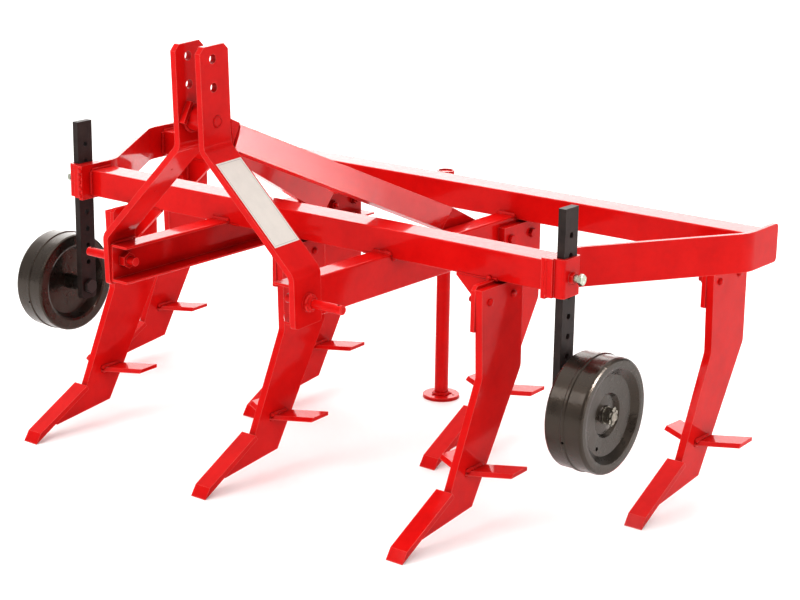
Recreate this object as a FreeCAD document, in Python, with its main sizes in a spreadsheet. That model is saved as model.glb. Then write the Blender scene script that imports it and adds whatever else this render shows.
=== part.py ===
import FreeCAD, Part
import os
import math
import Sketcher
from FreeCAD import Vector, Rotation, Placement

# Tractor-mounted subsoiler with seven tines, two gauge wheels and a parking stand.
# Millimetres. +X right, -Y towards the tractor, +Z up, floor at Z = 0.
# Inside this file y = 0 is the front face of the front beam; every sub-part's
# Placement then moves it back by frame_mid, so the model stands centred on its origin.

doc = FreeCAD.newDocument("Subsoiler")
sheet = doc.addObject("Spreadsheet::Sheet", "Dims")


# ---------------------------------------------------------------- dimensions
class Dim(object):
    """A number together with the sheet expression that gives it."""

    def __init__(self, value, text):
        self.value = float(value)
        self.text = text

    def __add__(self, other):
        o = as_dim(other)
        return Dim(self.value + o.value, "(%s + %s)" % (self.text, o.text))

    def __radd__(self, other):
        return as_dim(other) + self

    def __sub__(self, other):
        o = as_dim(other)
        return Dim(self.value - o.value, "(%s - %s)" % (self.text, o.text))

    def __rsub__(self, other):
        return as_dim(other) - self

    def __mul__(self, other):
        o = as_dim(other)
        return Dim(self.value * o.value, "(%s * %s)" % (self.text, o.text))

    def __rmul__(self, other):
        return as_dim(other) * self

    def __truediv__(self, other):
        o = as_dim(other)
        return Dim(self.value / o.value, "(%s / %s)" % (self.text, o.text))

    def __neg__(self):
        return Dim(-self.value, "(0 - %s)" % self.text)


def as_dim(value):
    if isinstance(value, Dim):
        return value
    return Dim(value, "%.6g" % float(value) if value >= 0 else "(0 - %.6g)" % -float(value))


sheet_row = [1]


def dim(alias, value, note):
    row = sheet_row[0]
    sheet_row[0] += 1
    sheet.set("A%d" % row, note)
    sheet.set("B%d" % row, "%.6g" % value)
    sheet.setAlias("B%d" % row, alias)
    return Dim(value, "Dims." + alias)


frame_mid = dim("frame_mid", 175.28, "front face of front beam to middle of the machine")

beam_low = dim("beam_low", 732, "underside of both cross beams above the floor")
beam_tall = dim("beam_tall", 90, "cross beam height")
beam_deep = dim("beam_deep", 100, "cross beam depth, front to back")
beam_wall = dim("beam_wall", 6.3, "cross beam wall")
beam_round = dim("beam_round", 4, "cross beam corner radius")
rear_front = dim("rear_front", 665, "front face of the rear beam")
front_half = dim("front_half", 942, "half length of the front beam")
rear_half = dim("rear_half", 1244.5, "half length of the rear beam")

side_wall = dim("side_wall", 15, "side plate thickness")
side_tall = dim("side_tall", 120, "side plate height")
side_low = dim("side_low", 722.5, "side plate lower edge above the floor")
side_nose = dim("side_nose", 45, "side plate nose in front of the front beam")
side_bend_a = dim("side_bend_a", 122, "first bend of the side plate")
side_bend_b = dim("side_bend_b", 597, "second bend of the side plate")
side_end = dim("side_end", 768, "rear end of the side plate")
side_bend_r = dim("side_bend_r", 110, "outside radius of the side plate bends")

rail_in = dim("rail_in", 300, "inner face of the long rails")
rail_out = dim("rail_out", 370, "outer face of the long rails")
rail_low = dim("rail_low", 626, "underside of the long rails")
rail_tall = dim("rail_tall", 120, "height of the long rails")
rail_wall = dim("rail_wall", 8, "wall of the long rails")
corner_cut = dim("corner_cut", 42, "corner cut off the right rail's lower flange")
rail_front = dim("rail_front", 470, "long rail front end, ahead of the front beam")
rail_rear = dim("rail_rear", 765, "long rail rear end")

leg_thick = dim("leg_thick", 20, "mast leg flat bar thickness")
leg_wide = dim("leg_wide", 120, "mast leg flat bar width")
leg_top = dim("leg_top", 1407, "top of the mast")
leg_gap = dim("leg_gap", 39, "half gap between the mast plates")
leg_bend_top = dim("leg_bend_top", 1097, "upper bend of the mast legs")
leg_bend_low = dim("leg_bend_low", 770, "lower bend of the mast legs")
leg_foot = dim("leg_foot", 617, "lower end of the hitch plates")
leg_lean = dim("leg_lean", 2.6, "lean of the mast towards the tractor, degrees")
leg_mid = dim("leg_mid", 418, "middle of the hitch plate ahead of the front beam")
leg_round = dim("leg_round", 45, "outside radius of the mast leg bends")
leg_cut = dim("leg_cut", 18, "corner cut at the top of the mast")
link_hole = dim("link_hole", 28, "top link hole diameter")
link_high = dim("link_high", 1367.7, "upper top link hole above the floor")
link_low = dim("link_low", 1283.5, "lower top link hole above the floor")
link_fwd = dim("link_fwd", 7, "top link holes ahead of the mast centre line")

pin_high = dim("pin_high", 688, "lower hitch pins above the floor")
pin_fwd = dim("pin_fwd", 418, "lower hitch pins ahead of the front beam")
pin_dia = dim("pin_dia", 28.4, "lower hitch pin diameter")
pin_end = dim("pin_end", 522, "outer end of the lower hitch pins from the middle")
pin_seat = dim("pin_seat", 28.6, "hole for the lower hitch pin")
pin_nut = dim("pin_nut", 46, "lower hitch pin nut across flats")
pin_collar = dim("pin_collar", 54, "lower hitch pin collar diameter")
pin_collar_w = dim("pin_collar_w", 14, "lower hitch pin collar width")

boss_dia = dim("boss_dia", 76, "mast spacer diameter")
boss_fwd = dim("boss_fwd", 438, "mast spacer ahead of the front beam")
boss_high = dim("boss_high", 1181, "mast spacer above the floor")
boss_pin = dim("boss_pin", 30, "mast spacer pin diameter")
tab_thick = dim("tab_thick", 12, "latch tab thickness")
tab_wide = dim("tab_wide", 20, "latch tab width")
tab_up = dim("tab_up", 36, "latch tab above its seat on the spacer")
tab_down = dim("tab_down", 34, "latch tab below its seat on the spacer")

brace_tall = dim("brace_tall", 80, "brace tube height")
brace_wide = dim("brace_wide", 40, "brace tube width")
brace_wall = dim("brace_wall", 4, "brace tube wall")
brace_tilt = dim("brace_tilt", 12, "lean of the braces' outer faces back from upright, degrees")

tine_pitch = dim("tine_pitch", 382.5, "spacing of the tines across the machine")
tine_row = dim("tine_row", 665, "spacing of the two tine rows")
tine_thick = dim("tine_thick", 25, "shank thickness")
tine_top = dim("tine_top", 723, "top of the shanks")
tine_bend = dim("tine_bend", 450, "bend of the shanks above the floor")
point_wide = dim("point_wide", 60, "width of the points")

plate_thick = dim("plate_thick", 15, "tine bracket plate thickness")
plate_low = dim("plate_low", 593, "lower edge of the tine brackets")
gusset_thick = dim("gusset_thick", 12, "bracket gusset thickness")
gusset_reach = dim("gusset_reach", 125, "reach of the bracket gussets")

wing_thick = dim("wing_thick", 12, "wing thickness")
wing_high = dim("wing_high", 185, "top of the wings above the floor")

arm_in = dim("arm_in", 979, "inner face of the wheel arms")
arm_thick = dim("arm_thick", 25, "wheel arm thickness")
arm_wide = dim("arm_wide", 67, "wheel arm width")
arm_mid = dim("arm_mid", 11, "wheel arm centre behind the front face of the front beam")
arm_top = dim("arm_top", 987, "top of the wheel arms")
arm_low = dim("arm_low", 355, "lower end of the wheel arms")
arm_hole = dim("arm_hole", 18, "wheel arm setting holes")
arm_step = dim("arm_step", 60, "spacing of the setting holes")

clamp_out = dim("clamp_out", 1014, "outer face of the wheel clamps")
clamp_play = dim("clamp_play", 1, "play of the arm in its clamp")
clamp_low = dim("clamp_low", 728, "lower edge of the wheel clamps")
clamp_tall = dim("clamp_tall", 115, "height of the wheel clamps")

axle_high = dim("axle_high", 400, "wheel axles above the floor")
axle_dia = dim("axle_dia", 30, "wheel axle diameter")
wheel_rad = dim("wheel_rad", 172.5, "gauge wheel radius")
wheel_in = dim("wheel_in", 1043, "inner face of the gauge wheels")
wheel_wide = dim("wheel_wide", 126, "gauge wheel width")
wheel_skin = dim("wheel_skin", 5, "gauge wheel sheet thickness")
wheel_bore = dim("wheel_bore", 30.12, "gauge wheel hub bore")

stand_dia = dim("stand_dia", 48.3, "stand tube diameter")
stand_wall = dim("stand_wall", 5, "stand tube wall")
stand_top = dim("stand_top", 818, "top of the stand tube")
stand_back = dim("stand_back", 795.3, "stand tube centre behind the front beam face")
stand_side = dim("stand_side", -13, "stand tube centre to the right of the middle")
stand_foot = dim("stand_foot", 130, "stand foot diameter")
stand_plate = dim("stand_plate", 12, "stand foot thickness")
sleeve_dia = dim("sleeve_dia", 60.3, "stand sleeve outer diameter")
sleeve_bore = dim("sleeve_bore", 49.7, "stand sleeve bore")
sleeve_low = dim("sleeve_low", 712, "lower end of the stand sleeve")
sleeve_top = dim("sleeve_top", 822, "upper end of the stand sleeve")

doc.recompute()

made = []


# ---------------------------------------------------------------- helpers
def plane_of(body, role):
    for feature in body.Origin.OriginFeatures:
        if feature.Role == role:
            return feature
    raise RuntimeError("no plane " + role)


def new_body(name, x=None, y=None, z=None, export=True, shift=True):
    body = doc.addObject("PartDesign::Body", name)
    body.Label = name
    if x is not None:
        body.setExpression("Placement.Base.x", as_dim(x).text)
    ypos = as_dim(y if y is not None else 0)
    if shift:
        ypos = ypos - frame_mid
    body.setExpression("Placement.Base.y", ypos.text)
    if z is not None:
        body.setExpression("Placement.Base.z", as_dim(z).text)
    if export:
        made.append(body)
    return body


def new_sketch(body, name, role, offset=None):
    sk = body.newObject("Sketcher::SketchObject", name)
    sk.AttachmentSupport = [(plane_of(body, role), "")]
    sk.MapMode = "FlatFace"
    if offset is not None:
        sk.setExpression("AttachmentOffset.Base.z", as_dim(offset).text)
    return sk


def fix_point(sk, geo, pos, px, py):
    px = as_dim(px)
    py = as_dim(py)
    k = sk.addConstraint(Sketcher.Constraint("DistanceX", -1, 1, geo, pos, px.value))
    sk.setExpression("Constraints[%d]" % k, px.text)
    k = sk.addConstraint(Sketcher.Constraint("DistanceY", -1, 1, geo, pos, py.value))
    sk.setExpression("Constraints[%d]" % k, py.text)


def draw_polygon(sk, points):
    pts = [(as_dim(a), as_dim(b)) for a, b in points]
    n = len(pts)
    ids = []
    for i in range(n):
        a, b = pts[i], pts[(i + 1) % n]
        ids.append(sk.addGeometry(Part.LineSegment(Vector(a[0].value, a[1].value, 0),
                                                   Vector(b[0].value, b[1].value, 0)), False))
    for i in range(n):
        sk.addConstraint(Sketcher.Constraint("Coincident", ids[i], 2, ids[(i + 1) % n], 1))
    for i in range(n):
        fix_point(sk, ids[i], 1, pts[i][0], pts[i][1])


def draw_circle(sk, cx, cy, diameter):
    cx, cy, diameter = as_dim(cx), as_dim(cy), as_dim(diameter)
    g = sk.addGeometry(Part.Circle(Vector(cx.value, cy.value, 0), Vector(0, 0, 1),
                                   diameter.value / 2.0), False)
    fix_point(sk, g, 3, cx, cy)
    k = sk.addConstraint(Sketcher.Constraint("Diameter", g, diameter.value))
    sk.setExpression("Constraints[%d]" % k, diameter.text)


def hexagon(cx, cy, across):
    """Corner points of a hexagon nut, flats left and right."""
    across = as_dim(across)
    cx, cy = as_dim(cx), as_dim(cy)
    pts = []
    for i in range(6):
        a = math.radians(30 + 60 * i)
        f = 0.5 / math.cos(math.radians(30))
        pts.append((cx + across * (f * math.cos(a)), cy + across * (f * math.sin(a))))
    return pts


def pad(body, sk, name, length, reverse=False):
    p = body.newObject("PartDesign::Pad", name)
    p.Profile = sk
    p.setExpression("Length", as_dim(length).text)
    p.Reversed = reverse
    sk.Visibility = False
    body.Tip = p
    return p


def pocket(body, sk, name, length, reverse=False):
    """Cut away from the sketch plane along its normal (FreeCAD pockets go against it)."""
    doc.recompute()
    before = body.Shape.Volume
    p = body.newObject("PartDesign::Pocket", name)
    p.Profile = sk
    p.setExpression("Length", as_dim(length).text)
    p.Reversed = not reverse
    body.Tip = p
    doc.recompute()
    after = body.Shape.Volume
    if not after < before - 1.0:
        raise RuntimeError("%s cuts nothing (%.1f -> %.1f)" % (name, before, after))
    return p


def pick_edges(feature, test):
    names = []
    for i, e in enumerate(feature.Shape.Edges):
        if test(e):
            names.append("Edge%d" % (i + 1))
    if not names:
        raise RuntimeError("no edges found for " + feature.Label)
    return names


def fillet(body, feature, name, radius, test):
    doc.recompute()
    f = body.newObject("PartDesign::Fillet", name)
    f.Base = (feature, pick_edges(feature, test))
    f.setExpression("Radius", as_dim(radius).text)
    body.Tip = f
    doc.recompute()
    return f


def chamfer(body, feature, name, size, test):
    doc.recompute()
    f = body.newObject("PartDesign::Chamfer", name)
    f.Base = (feature, pick_edges(feature, test))
    f.setExpression("Size", as_dim(size).text)
    body.Tip = f
    doc.recompute()
    return f


def along(e, axis):
    """True for a straight edge parallel to the axis vector."""
    if e.Curve.TypeId != "Part::GeomLine" or e.Length < 1e-6:
        return False
    d = e.Vertexes[-1].Point.sub(e.Vertexes[0].Point)
    d.normalize()
    return abs(abs(d.dot(axis)) - 1) < 1e-6


def mid(e):
    return e.CenterOfMass


X, Y, Z = Vector(1, 0, 0), Vector(0, 1, 0), Vector(0, 0, 1)
SIDES = (("left", -1), ("right", 1))


def span(side, a, b):
    """x range of a piece on one side, lowest first."""
    return (as_dim(a), as_dim(b)) if side > 0 else (-as_dim(b), -as_dim(a))


def plate_yz(body, name, x0, x1, points):
    """Plate with a side-view outline, from x0 to x1."""
    sk = new_sketch(body, name + "_outline", "YZ_Plane", x0)
    draw_polygon(sk, points)
    return pad(body, sk, name + "_pad", as_dim(x1) - as_dim(x0))


# ---------------------------------------------------------------- cross beams
def cross_beam(name, y0, half):
    b = new_body(name, y=y0)
    sk = new_sketch(b, name + "_section", "YZ_Plane", -half)
    draw_polygon(sk, [(0, beam_low), (beam_deep, beam_low),
                      (beam_deep, beam_low + beam_tall), (0, beam_low + beam_tall)])
    p = pad(b, sk, name + "_pad", half * 2)
    f = fillet(b, p, name + "_corners", beam_round, lambda e: along(e, X))
    sk2 = new_sketch(b, name + "_bore", "YZ_Plane", -half)
    draw_polygon(sk2, [(beam_wall, beam_low + beam_wall), (beam_deep - beam_wall, beam_low + beam_wall),
                       (beam_deep - beam_wall, beam_low + beam_tall - beam_wall),
                       (beam_wall, beam_low + beam_tall - beam_wall)])
    pocket(b, sk2, name + "_hollow", half * 2)
    return b


cross_beam("front_beam", 0, front_half)
cross_beam("rear_beam", rear_front, rear_half)

# ---------------------------------------------------------------- side plates
for word, s in SIDES:
    name = "side_plate_" + word
    b = new_body(name)
    sk = new_sketch(b, name + "_plan", "XY_Plane", side_low)
    x0, x1 = front_half, rear_half
    slope = math.atan2(rear_half.value - front_half.value, side_bend_b.value - side_bend_a.value)
    k = math.tan(slope / 2.0)          # shift of the inner corner along the plate
    inner = [(x0, -side_nose), (x0, side_bend_a), (x1, side_bend_b), (x1, side_end)]
    outer = [(x1 + side_wall, side_end), (x1 + side_wall, side_bend_b - side_wall * k),
             (x0 + side_wall, side_bend_a - side_wall * k), (x0 + side_wall, -side_nose)]
    draw_polygon(sk, [(px * s, py) for px, py in inner + outer])
    p = pad(b, sk, name + "_pad", side_tall)
    ya, yb = side_bend_a.value, side_bend_b.value
    bends = fillet(b, p, name + "_bends", side_bend_r,
                   lambda e: along(e, Z) and (abs(mid(e).y - ya) < 12 or abs(mid(e).y - yb) < 12))
    ends = fillet(b, bends, name + "_ends", 14,
                  lambda e: along(e, X) and abs(e.Length - side_wall.value) < 0.1
                  and mid(e).y > side_end.value - 1)

# ---------------------------------------------------------------- long rails
for word, s in SIDES:
    name = "long_rail_" + word
    b = new_body(name)
    x0, x1 = span(s, rail_in, rail_out)
    top = rail_low + rail_tall
    p = plate_yz(b, name, x0, x1, [(-rail_front, rail_low), (rail_rear, rail_low),
                                   (rail_rear, top), (-rail_front, top)])
    f = fillet(b, p, name + "_corners", 6, lambda e: along(e, Y))
    # hollow from end to end
    c0, c1 = span(s, rail_in + rail_wall, rail_out - rail_wall)
    sk = new_sketch(b, name + "_bore", "YZ_Plane", c0)
    draw_polygon(sk, [(-rail_front - 5, rail_low + rail_wall), (rail_rear + 5, rail_low + rail_wall),
                      (rail_rear + 5, top - rail_wall), (-rail_front - 5, top - rail_wall)])
    pocket(b, sk, name + "_hollow", c1 - c0)
    # open along the whole inner side
    w0, w1 = span(s, rail_in - 5, rail_in + rail_wall + 1)
    sk = new_sketch(b, name + "_mouth", "YZ_Plane", w0)
    draw_polygon(sk, [(-rail_front - 5, rail_low + rail_wall), (rail_rear + 5, rail_low + rail_wall),
                      (rail_rear + 5, top - rail_wall), (-rail_front - 5, top - rail_wall)])
    pocket(b, sk, name + "_open_side", w1 - w0)
    if s > 0:
        # the right rail's lower flange has its inner front corner cut off
        sk = new_sketch(b, name + "_corner", "XY_Plane", rail_low - 1)
        draw_polygon(sk, [(rail_in - 5, -rail_front - 5), (rail_in + corner_cut, -rail_front - 5),
                          (rail_in + corner_cut, -rail_front + 4), (rail_in - 5, -rail_front + corner_cut + 12)])
        pocket(b, sk, name + "_corner_cut", rail_wall + 2)
    # seats for the cross beams
    sk = new_sketch(b, name + "_seats", "YZ_Plane", x0 - 5)
    draw_polygon(sk, [(0, beam_low), (beam_deep, beam_low), (beam_deep, top + 5), (0, top + 5)])
    draw_polygon(sk, [(rear_front, beam_low), (rail_rear + 5, beam_low),
                      (rail_rear + 5, top + 5), (rear_front, top + 5)])
    pocket(b, sk, name + "_notches", x1 - x0 + 10)
    # hole for the lower hitch pin
    sk = new_sketch(b, name + "_pin_hole", "YZ_Plane", x0 - 5)
    draw_circle(sk, -pin_fwd, pin_high, pin_seat)
    if s > 0:
        sk.setExpression("AttachmentOffset.Base.z", (rail_out - rail_wall - 1).text)
    else:
        sk.setExpression("AttachmentOffset.Base.z", (-rail_out - 1).text)
    pocket(b, sk, name + "_pin_seat", rail_wall + 2)

# ---------------------------------------------------------------- mast
# The legs are drawn upright about the lower pin height and then leaned forward.
lean = leg_lean
for word, s in SIDES:
    name = "mast_leg_" + word
    b = new_body(name, y=-leg_mid, z=pin_high)
    b.Placement = Placement(b.Placement.Base, Rotation(Vector(1, 0, 0), leg_lean.value))
    b.setExpression("Placement.Rotation.Angle", leg_lean.text)
    half = leg_wide / 2
    gi, go = leg_gap, leg_gap + leg_thick
    hi, ho = rail_out, rail_out + leg_thick
    run = (hi - gi).value
    rise = (leg_bend_top - leg_bend_low).value
    k = math.tan(math.atan2(run, rise) / 2.0)
    zt, zb, zh, zf = leg_top - pin_high, leg_bend_top - pin_high, leg_bend_low - pin_high, leg_foot - pin_high
    pts = [(gi, zt), (gi, zb), (hi, zh), (hi, zf),
           (ho, zf), (ho, zh + leg_thick * k), (go, zb + leg_thick * k), (go, zt)]
    # XZ plane: normal points to -Y
    sk = new_sketch(b, name + "_front_view", "XZ_Plane", -half)
    draw_polygon(sk, [(px * s, pz) for px, pz in pts])
    p = pad(b, sk, name + "_pad", leg_wide)
    f1 = fillet(b, p, name + "_bend_outside", leg_round,
                lambda e: along(e, Y) and (
                    (abs(abs(mid(e).x) - gi.value) < 0.5 and abs(mid(e).z - zb.value) < 1) or
                    (abs(abs(mid(e).x) - ho.value) < 0.5 and abs(mid(e).z - zh.value - leg_thick.value * k) < 1)))
    f2 = fillet(b, f1, name + "_bend_inside", leg_round - leg_thick,
                lambda e: along(e, Y) and (
                    (abs(abs(mid(e).x) - go.value) < 0.5 and abs(mid(e).z - zb.value - leg_thick.value * k) < 1) or
                    (abs(abs(mid(e).x) - hi.value) < 0.5 and abs(mid(e).z - zh.value) < 1)))
    c = chamfer(b, f2, name + "_top_corners", leg_cut,
                lambda e: along(e, X) and abs(mid(e).z - zt.value) < 0.5)
    c2 = fillet(b, c, name + "_foot_corners", 12,
                lambda e: along(e, X) and abs(mid(e).z - zf.value) < 0.5)
    # top link holes
    h0, h1 = span(s, gi - 5, go + 5)
    sk = new_sketch(b, name + "_link_holes", "YZ_Plane", h0)
    draw_circle(sk, -link_fwd, link_high - pin_high, link_hole)
    draw_circle(sk, -link_fwd, link_low - pin_high, link_hole)
    # spacer pin hole: its place in the leaned plate's own axes
    ct, st = math.cos(math.radians(leg_lean.value)), math.sin(math.radians(leg_lean.value))
    draw_circle(sk, (leg_mid - boss_fwd) * ct + (boss_high - pin_high) * st,
                (boss_high - pin_high) * ct - (leg_mid - boss_fwd) * st, boss_pin + 0.3)
    pocket(b, sk, name + "_holes", h1 - h0)
    # lower pin hole
    h0, h1 = span(s, hi - 5, ho + 5)
    sk = new_sketch(b, name + "_pin_hole", "YZ_Plane", h0)
    draw_circle(sk, leg_mid - pin_fwd, 0, pin_seat)
    pocket(b, sk, name + "_pin_seat", h1 - h0)

# spacer tube, its pin and the latch tab between the mast plates
b = new_body("mast_spacer")
sk = new_sketch(b, "mast_spacer_ring", "YZ_Plane", -leg_gap)
draw_circle(sk, -boss_fwd, boss_high, boss_dia)
pad(b, sk, "mast_spacer_pad", leg_gap * 2)
doc.recompute()
sk = new_sketch(b, "mast_spacer_bore", "YZ_Plane", -leg_gap - 1)
draw_circle(sk, -boss_fwd, boss_high, boss_pin + 0.3)
pocket(b, sk, "mast_spacer_hole", leg_gap * 2 + 2)

b = new_body("mast_spacer_pin")
sk = new_sketch(b, "mast_spacer_pin_end", "YZ_Plane", -leg_gap - leg_thick - 3)
draw_circle(sk, -boss_fwd, boss_high, boss_pin)
pad(b, sk, "mast_spacer_pin_pad", leg_gap * 2 + leg_thick * 2 + 6)

b = new_body("mast_latch_tab")
sk = new_sketch(b, "mast_latch_tab_outline", "YZ_Plane", -leg_gap)
# a flat bar standing on the spacer, square to its radius
tab_lean = math.radians(28)
radial = (-math.cos(tab_lean), math.sin(tab_lean))
along_tab = (math.sin(tab_lean), math.cos(tab_lean))
tab_near, tab_far = boss_dia / 2, boss_dia / 2 + tab_thick
corners = [(tab_near, tab_up), (tab_far, tab_up), (tab_far, -tab_down), (tab_near, -tab_down)]
draw_polygon(sk, [(r * radial[0] + t * along_tab[0] - boss_fwd, r * radial[1] + t * along_tab[1] + boss_high)
                  for r, t in corners])
pad(b, sk, "mast_latch_tab_pad", tab_wide)

# lugs that carry the braces behind the mast plates
for word, s in SIDES:
    name = "brace_lug_" + word
    b = new_body(name)
    x0, x1 = span(s, leg_gap, leg_gap + leg_thick)
    plate_yz(b, name, x0, x1, [(-380.2, 1181), (-340, 1163), (-371, 1093), (-376.4, 1102)])

# braces from the mast to the long rails
near_a = Vector((leg_gap + leg_thick).value, -340, 1159)          # outer top edge, front end
near_b = Vector(rail_in.value, 409, 807)  # outer top edge at the rail's inner face
run = near_b.sub(near_a)
heading = math.atan2(run.x, run.y)       # turn from +Y towards +X
fall = math.atan2(-run.z, math.hypot(run.x, run.y))
for word, s in SIDES:
    name = "brace_" + word
    u = Vector(s * math.sin(heading) * math.cos(fall), math.cos(heading) * math.cos(fall), -math.sin(fall))
    side = Vector(s * math.cos(heading), -math.sin(heading), 0)   # towards the outside
    up = Vector(s * math.sin(heading) * math.sin(fall), math.cos(heading) * math.sin(fall), math.cos(fall))
    # lean the section about its own outer top edge, so that the wide outer face looks up a little
    turn = math.radians(brace_tilt.value)
    side, up = side * math.cos(turn) + up * math.sin(turn), up * math.cos(turn) - side * math.sin(turn)
    if s > 0:
        m = FreeCAD.Matrix(side.x, u.x, up.x, 0, side.y, u.y, up.y, 0, side.z, u.z, up.z, 0, 0, 0, 0, 1)
        corner = Vector(s * near_a.x, near_a.y, near_a.z) - side * brace_wide.value - up * brace_tall.value
    else:
        inward = side * -1
        m = FreeCAD.Matrix(inward.x, u.x, up.x, 0, inward.y, u.y, up.y, 0, inward.z, u.z, up.z, 0, 0, 0, 0, 1)
        corner = Vector(s * near_a.x, near_a.y, near_a.z) - up * brace_tall.value
    rot = Placement(m).Rotation
    shift = Vector(0, -frame_mid.value, 0)
    bar = doc.addObject("Part::Box", name + "_bar")
    bar.setExpression("Width", "1150")
    bar.setExpression("Length", brace_wide.text)
    bar.setExpression("Height", brace_tall.text)
    bar.Placement = Placement(corner + shift, rot)
    core = doc.addObject("Part::Box", name + "_core")
    core.setExpression("Width", "780")
    core.setExpression("Length", (brace_wide - brace_wall * 2).text)
    core.setExpression("Height", (brace_tall - brace_wall * 2).text)
    off = rot.multVec(Vector(brace_wall.value, brace_wall.value, brace_wall.value))
    core.Placement = Placement(corner + shift + off, rot)
    trim = doc.addObject("Part::Box", name + "_trim")
    trim.Length, trim.Width, trim.Height = 400, 1400, 900
    trim.Placement = Placement(Vector(rail_in.value if s > 0 else -rail_in.value - 400, -200, 300), Rotation())
    tube = doc.addObject("Part::Cut", name + "_tube")
    tube.Base, tube.Tool = bar, core
    cut = doc.addObject("Part::Cut", name)
    cut.Base, cut.Tool = tube, trim
    cut.Label = name
    made.append(cut)

# ---------------------------------------------------------------- lower hitch pins
for word, s in SIDES:
    name = "lower_pin_" + word
    b = new_body(name, y=-pin_fwd, z=pin_high)
    p0, p1 = span(s, rail_in + 12, pin_end)
    sk = new_sketch(b, name + "_shaft", "YZ_Plane", p0)
    draw_circle(sk, 0, 0, pin_dia)
    shaft = pad(b, sk, name + "_shaft_pad", p1 - p0)
    c = chamfer(b, shaft, name + "_end", 2.5,
                lambda e: abs(abs(mid(e).x) - pin_end.value) < 0.1 and e.Curve.TypeId == "Part::GeomCircle")
    c0, c1 = span(s, rail_out + leg_thick, rail_out + leg_thick + pin_collar_w)
    sk = new_sketch(b, name + "_collar", "YZ_Plane", c0)
    draw_circle(sk, 0, 0, pin_collar)
    col = pad(b, sk, name + "_collar_pad", c1 - c0)
    c = chamfer(b, col, name + "_collar_edge", 3,
                lambda e: abs(abs(mid(e).x) - (rail_out + leg_thick + pin_collar_w).value) < 0.1
                and e.Curve.TypeId == "Part::GeomCircle" and e.Curve.Radius > 20)
    n0, n1 = span(s, rail_out - rail_wall - 22, rail_out - rail_wall)
    sk = new_sketch(b, name + "_nut", "YZ_Plane", n0)
    draw_polygon(sk, hexagon(0, 0, pin_nut))
    pad(b, sk, name + "_nut_pad", n1 - n0)
    # linch pin hole near the outer end
    doc.recompute()
    sk = new_sketch(b, name + "_linch", "XY_Plane", -30)
    draw_circle(sk, (pin_end - 16) * s, 0, 11)
    pocket(b, sk, name + "_linch_hole", 60)


# ---------------------------------------------------------------- tines
def shank(name, place, row):
    b = new_body(name, x=tine_pitch * place, y=tine_row * row)
    plate_yz(b, name, -tine_thick / 2, tine_thick / 2,
             [(-97, tine_top), (-85, tine_bend + 2), (-232, 132.5), (-390, 48.4), (-369, 36),
              (-121, 65), (114, tine_bend - 2), (111, tine_top)])
    doc.recompute()
    pd = b.Tip
    fillet(b, pd, name + "_bends", 30,
           lambda e: along(e, X) and (abs(mid(e).z - tine_bend.value) < 3))
    return b


def point(name, place, row):
    b = new_body(name, x=tine_pitch * place, y=tine_row * row)
    plate_yz(b, name, -point_wide / 2, point_wide / 2,
             [(-243, 146), (-459, 33), (-481, 0), (-235, 131)])
    return b


TINES = (("front", "left", -2, 0), ("front", "centre", 0, 0), ("front", "right", 2, 0),
         ("rear", "outer_left", -3, 1), ("rear", "inner_left", -1, 1),
         ("rear", "inner_right", 1, 1), ("rear", "outer_right", 3, 1))

for row, spot, place, back in TINES:
    shank("%s_shank_%s" % (row, spot), place, back)
    point("%s_point_%s" % (row, spot), place, back)


def compound(name, parts):
    c = doc.addObject("Part::Compound", name)
    c.Links = parts
    c.Label = name
    made.append(c)
    return c


# wings: one each side of every shank
for row in ("front", "rear"):
    solids = []
    for r, spot, place, back in TINES:
        if r != row:
            continue
        for word, s in SIDES:
            nm = "%s_wing_%s_%s" % (row, spot, word)
            b = new_body(nm, x=tine_pitch * place, y=tine_row * back, export=False)
            half = tine_thick / 2
            sk = new_sketch(b, nm + "_plan", "XY_Plane", wing_high - wing_thick)
            draw_polygon(sk, [(half * s, -160), (as_dim(131) * s, -93), (as_dim(126) * s, -4), (half * s, -72)])
            p = pad(b, sk, nm + "_pad", wing_thick)
            chamfer(b, p, nm + "_edge", 10.5,
                    lambda e: abs(mid(e).z - wing_high.value) < 0.1 and
                    mid(e).y < -110 and e.Length > 100)
            solids.append(b)
    compound("%s_wings" % row, solids)


# brackets that carry the shanks below the beams, and their gussets
def bracket(name, place, back, s, export=False):
    """s is the side of the shank that the plate is on."""
    b = new_body(name, x=tine_pitch * place, y=tine_row * back, export=export)
    x0, x1 = span(s, tine_thick / 2, tine_thick / 2 + plate_thick)
    plate_yz(b, name, x0, x1, [(-97, plate_low), (110, plate_low), (110, beam_low),
                               (-84, beam_low), (-97, beam_low - 12)])
    return b


def gusset(name, place, back, s):
    b = new_body(name, x=tine_pitch * place, y=tine_row * back, export=False)
    inner = tine_thick / 2 + plate_thick
    sk = new_sketch(b, name + "_outline", "XZ_Plane", -gusset_thick - 2)
    draw_polygon(sk, [(inner * s, beam_low), (inner * s, plate_low + 26),
                      ((inner + 12) * s, plate_low + 26), ((inner + gusset_reach) * s, beam_low - 8),
                      ((inner + gusset_reach) * s, beam_low)])
    pad(b, sk, name + "_pad", gusset_thick)
    return b


compound("front_tine_brackets", [bracket("front_bracket_left", -2, 0, 1), bracket("front_bracket_centre", 0, 0, -1),
                                 bracket("front_bracket_right", 2, 0, -1)])
compound("rear_tine_brackets", [bracket("rear_bracket_left", -3, 1, 1), bracket("rear_bracket_right", 3, 1, -1)])
compound("front_bracket_gussets", [gusset("front_gusset_left", -2, 0, 1), gusset("front_gusset_centre", 0, 0, -1),
                                   gusset("front_gusset_right", 2, 0, -1)])
compound("rear_bracket_gussets", [gusset("rear_gusset_left", -3, 1, 1), gusset("rear_gusset_right", 3, 1, -1)])

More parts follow.
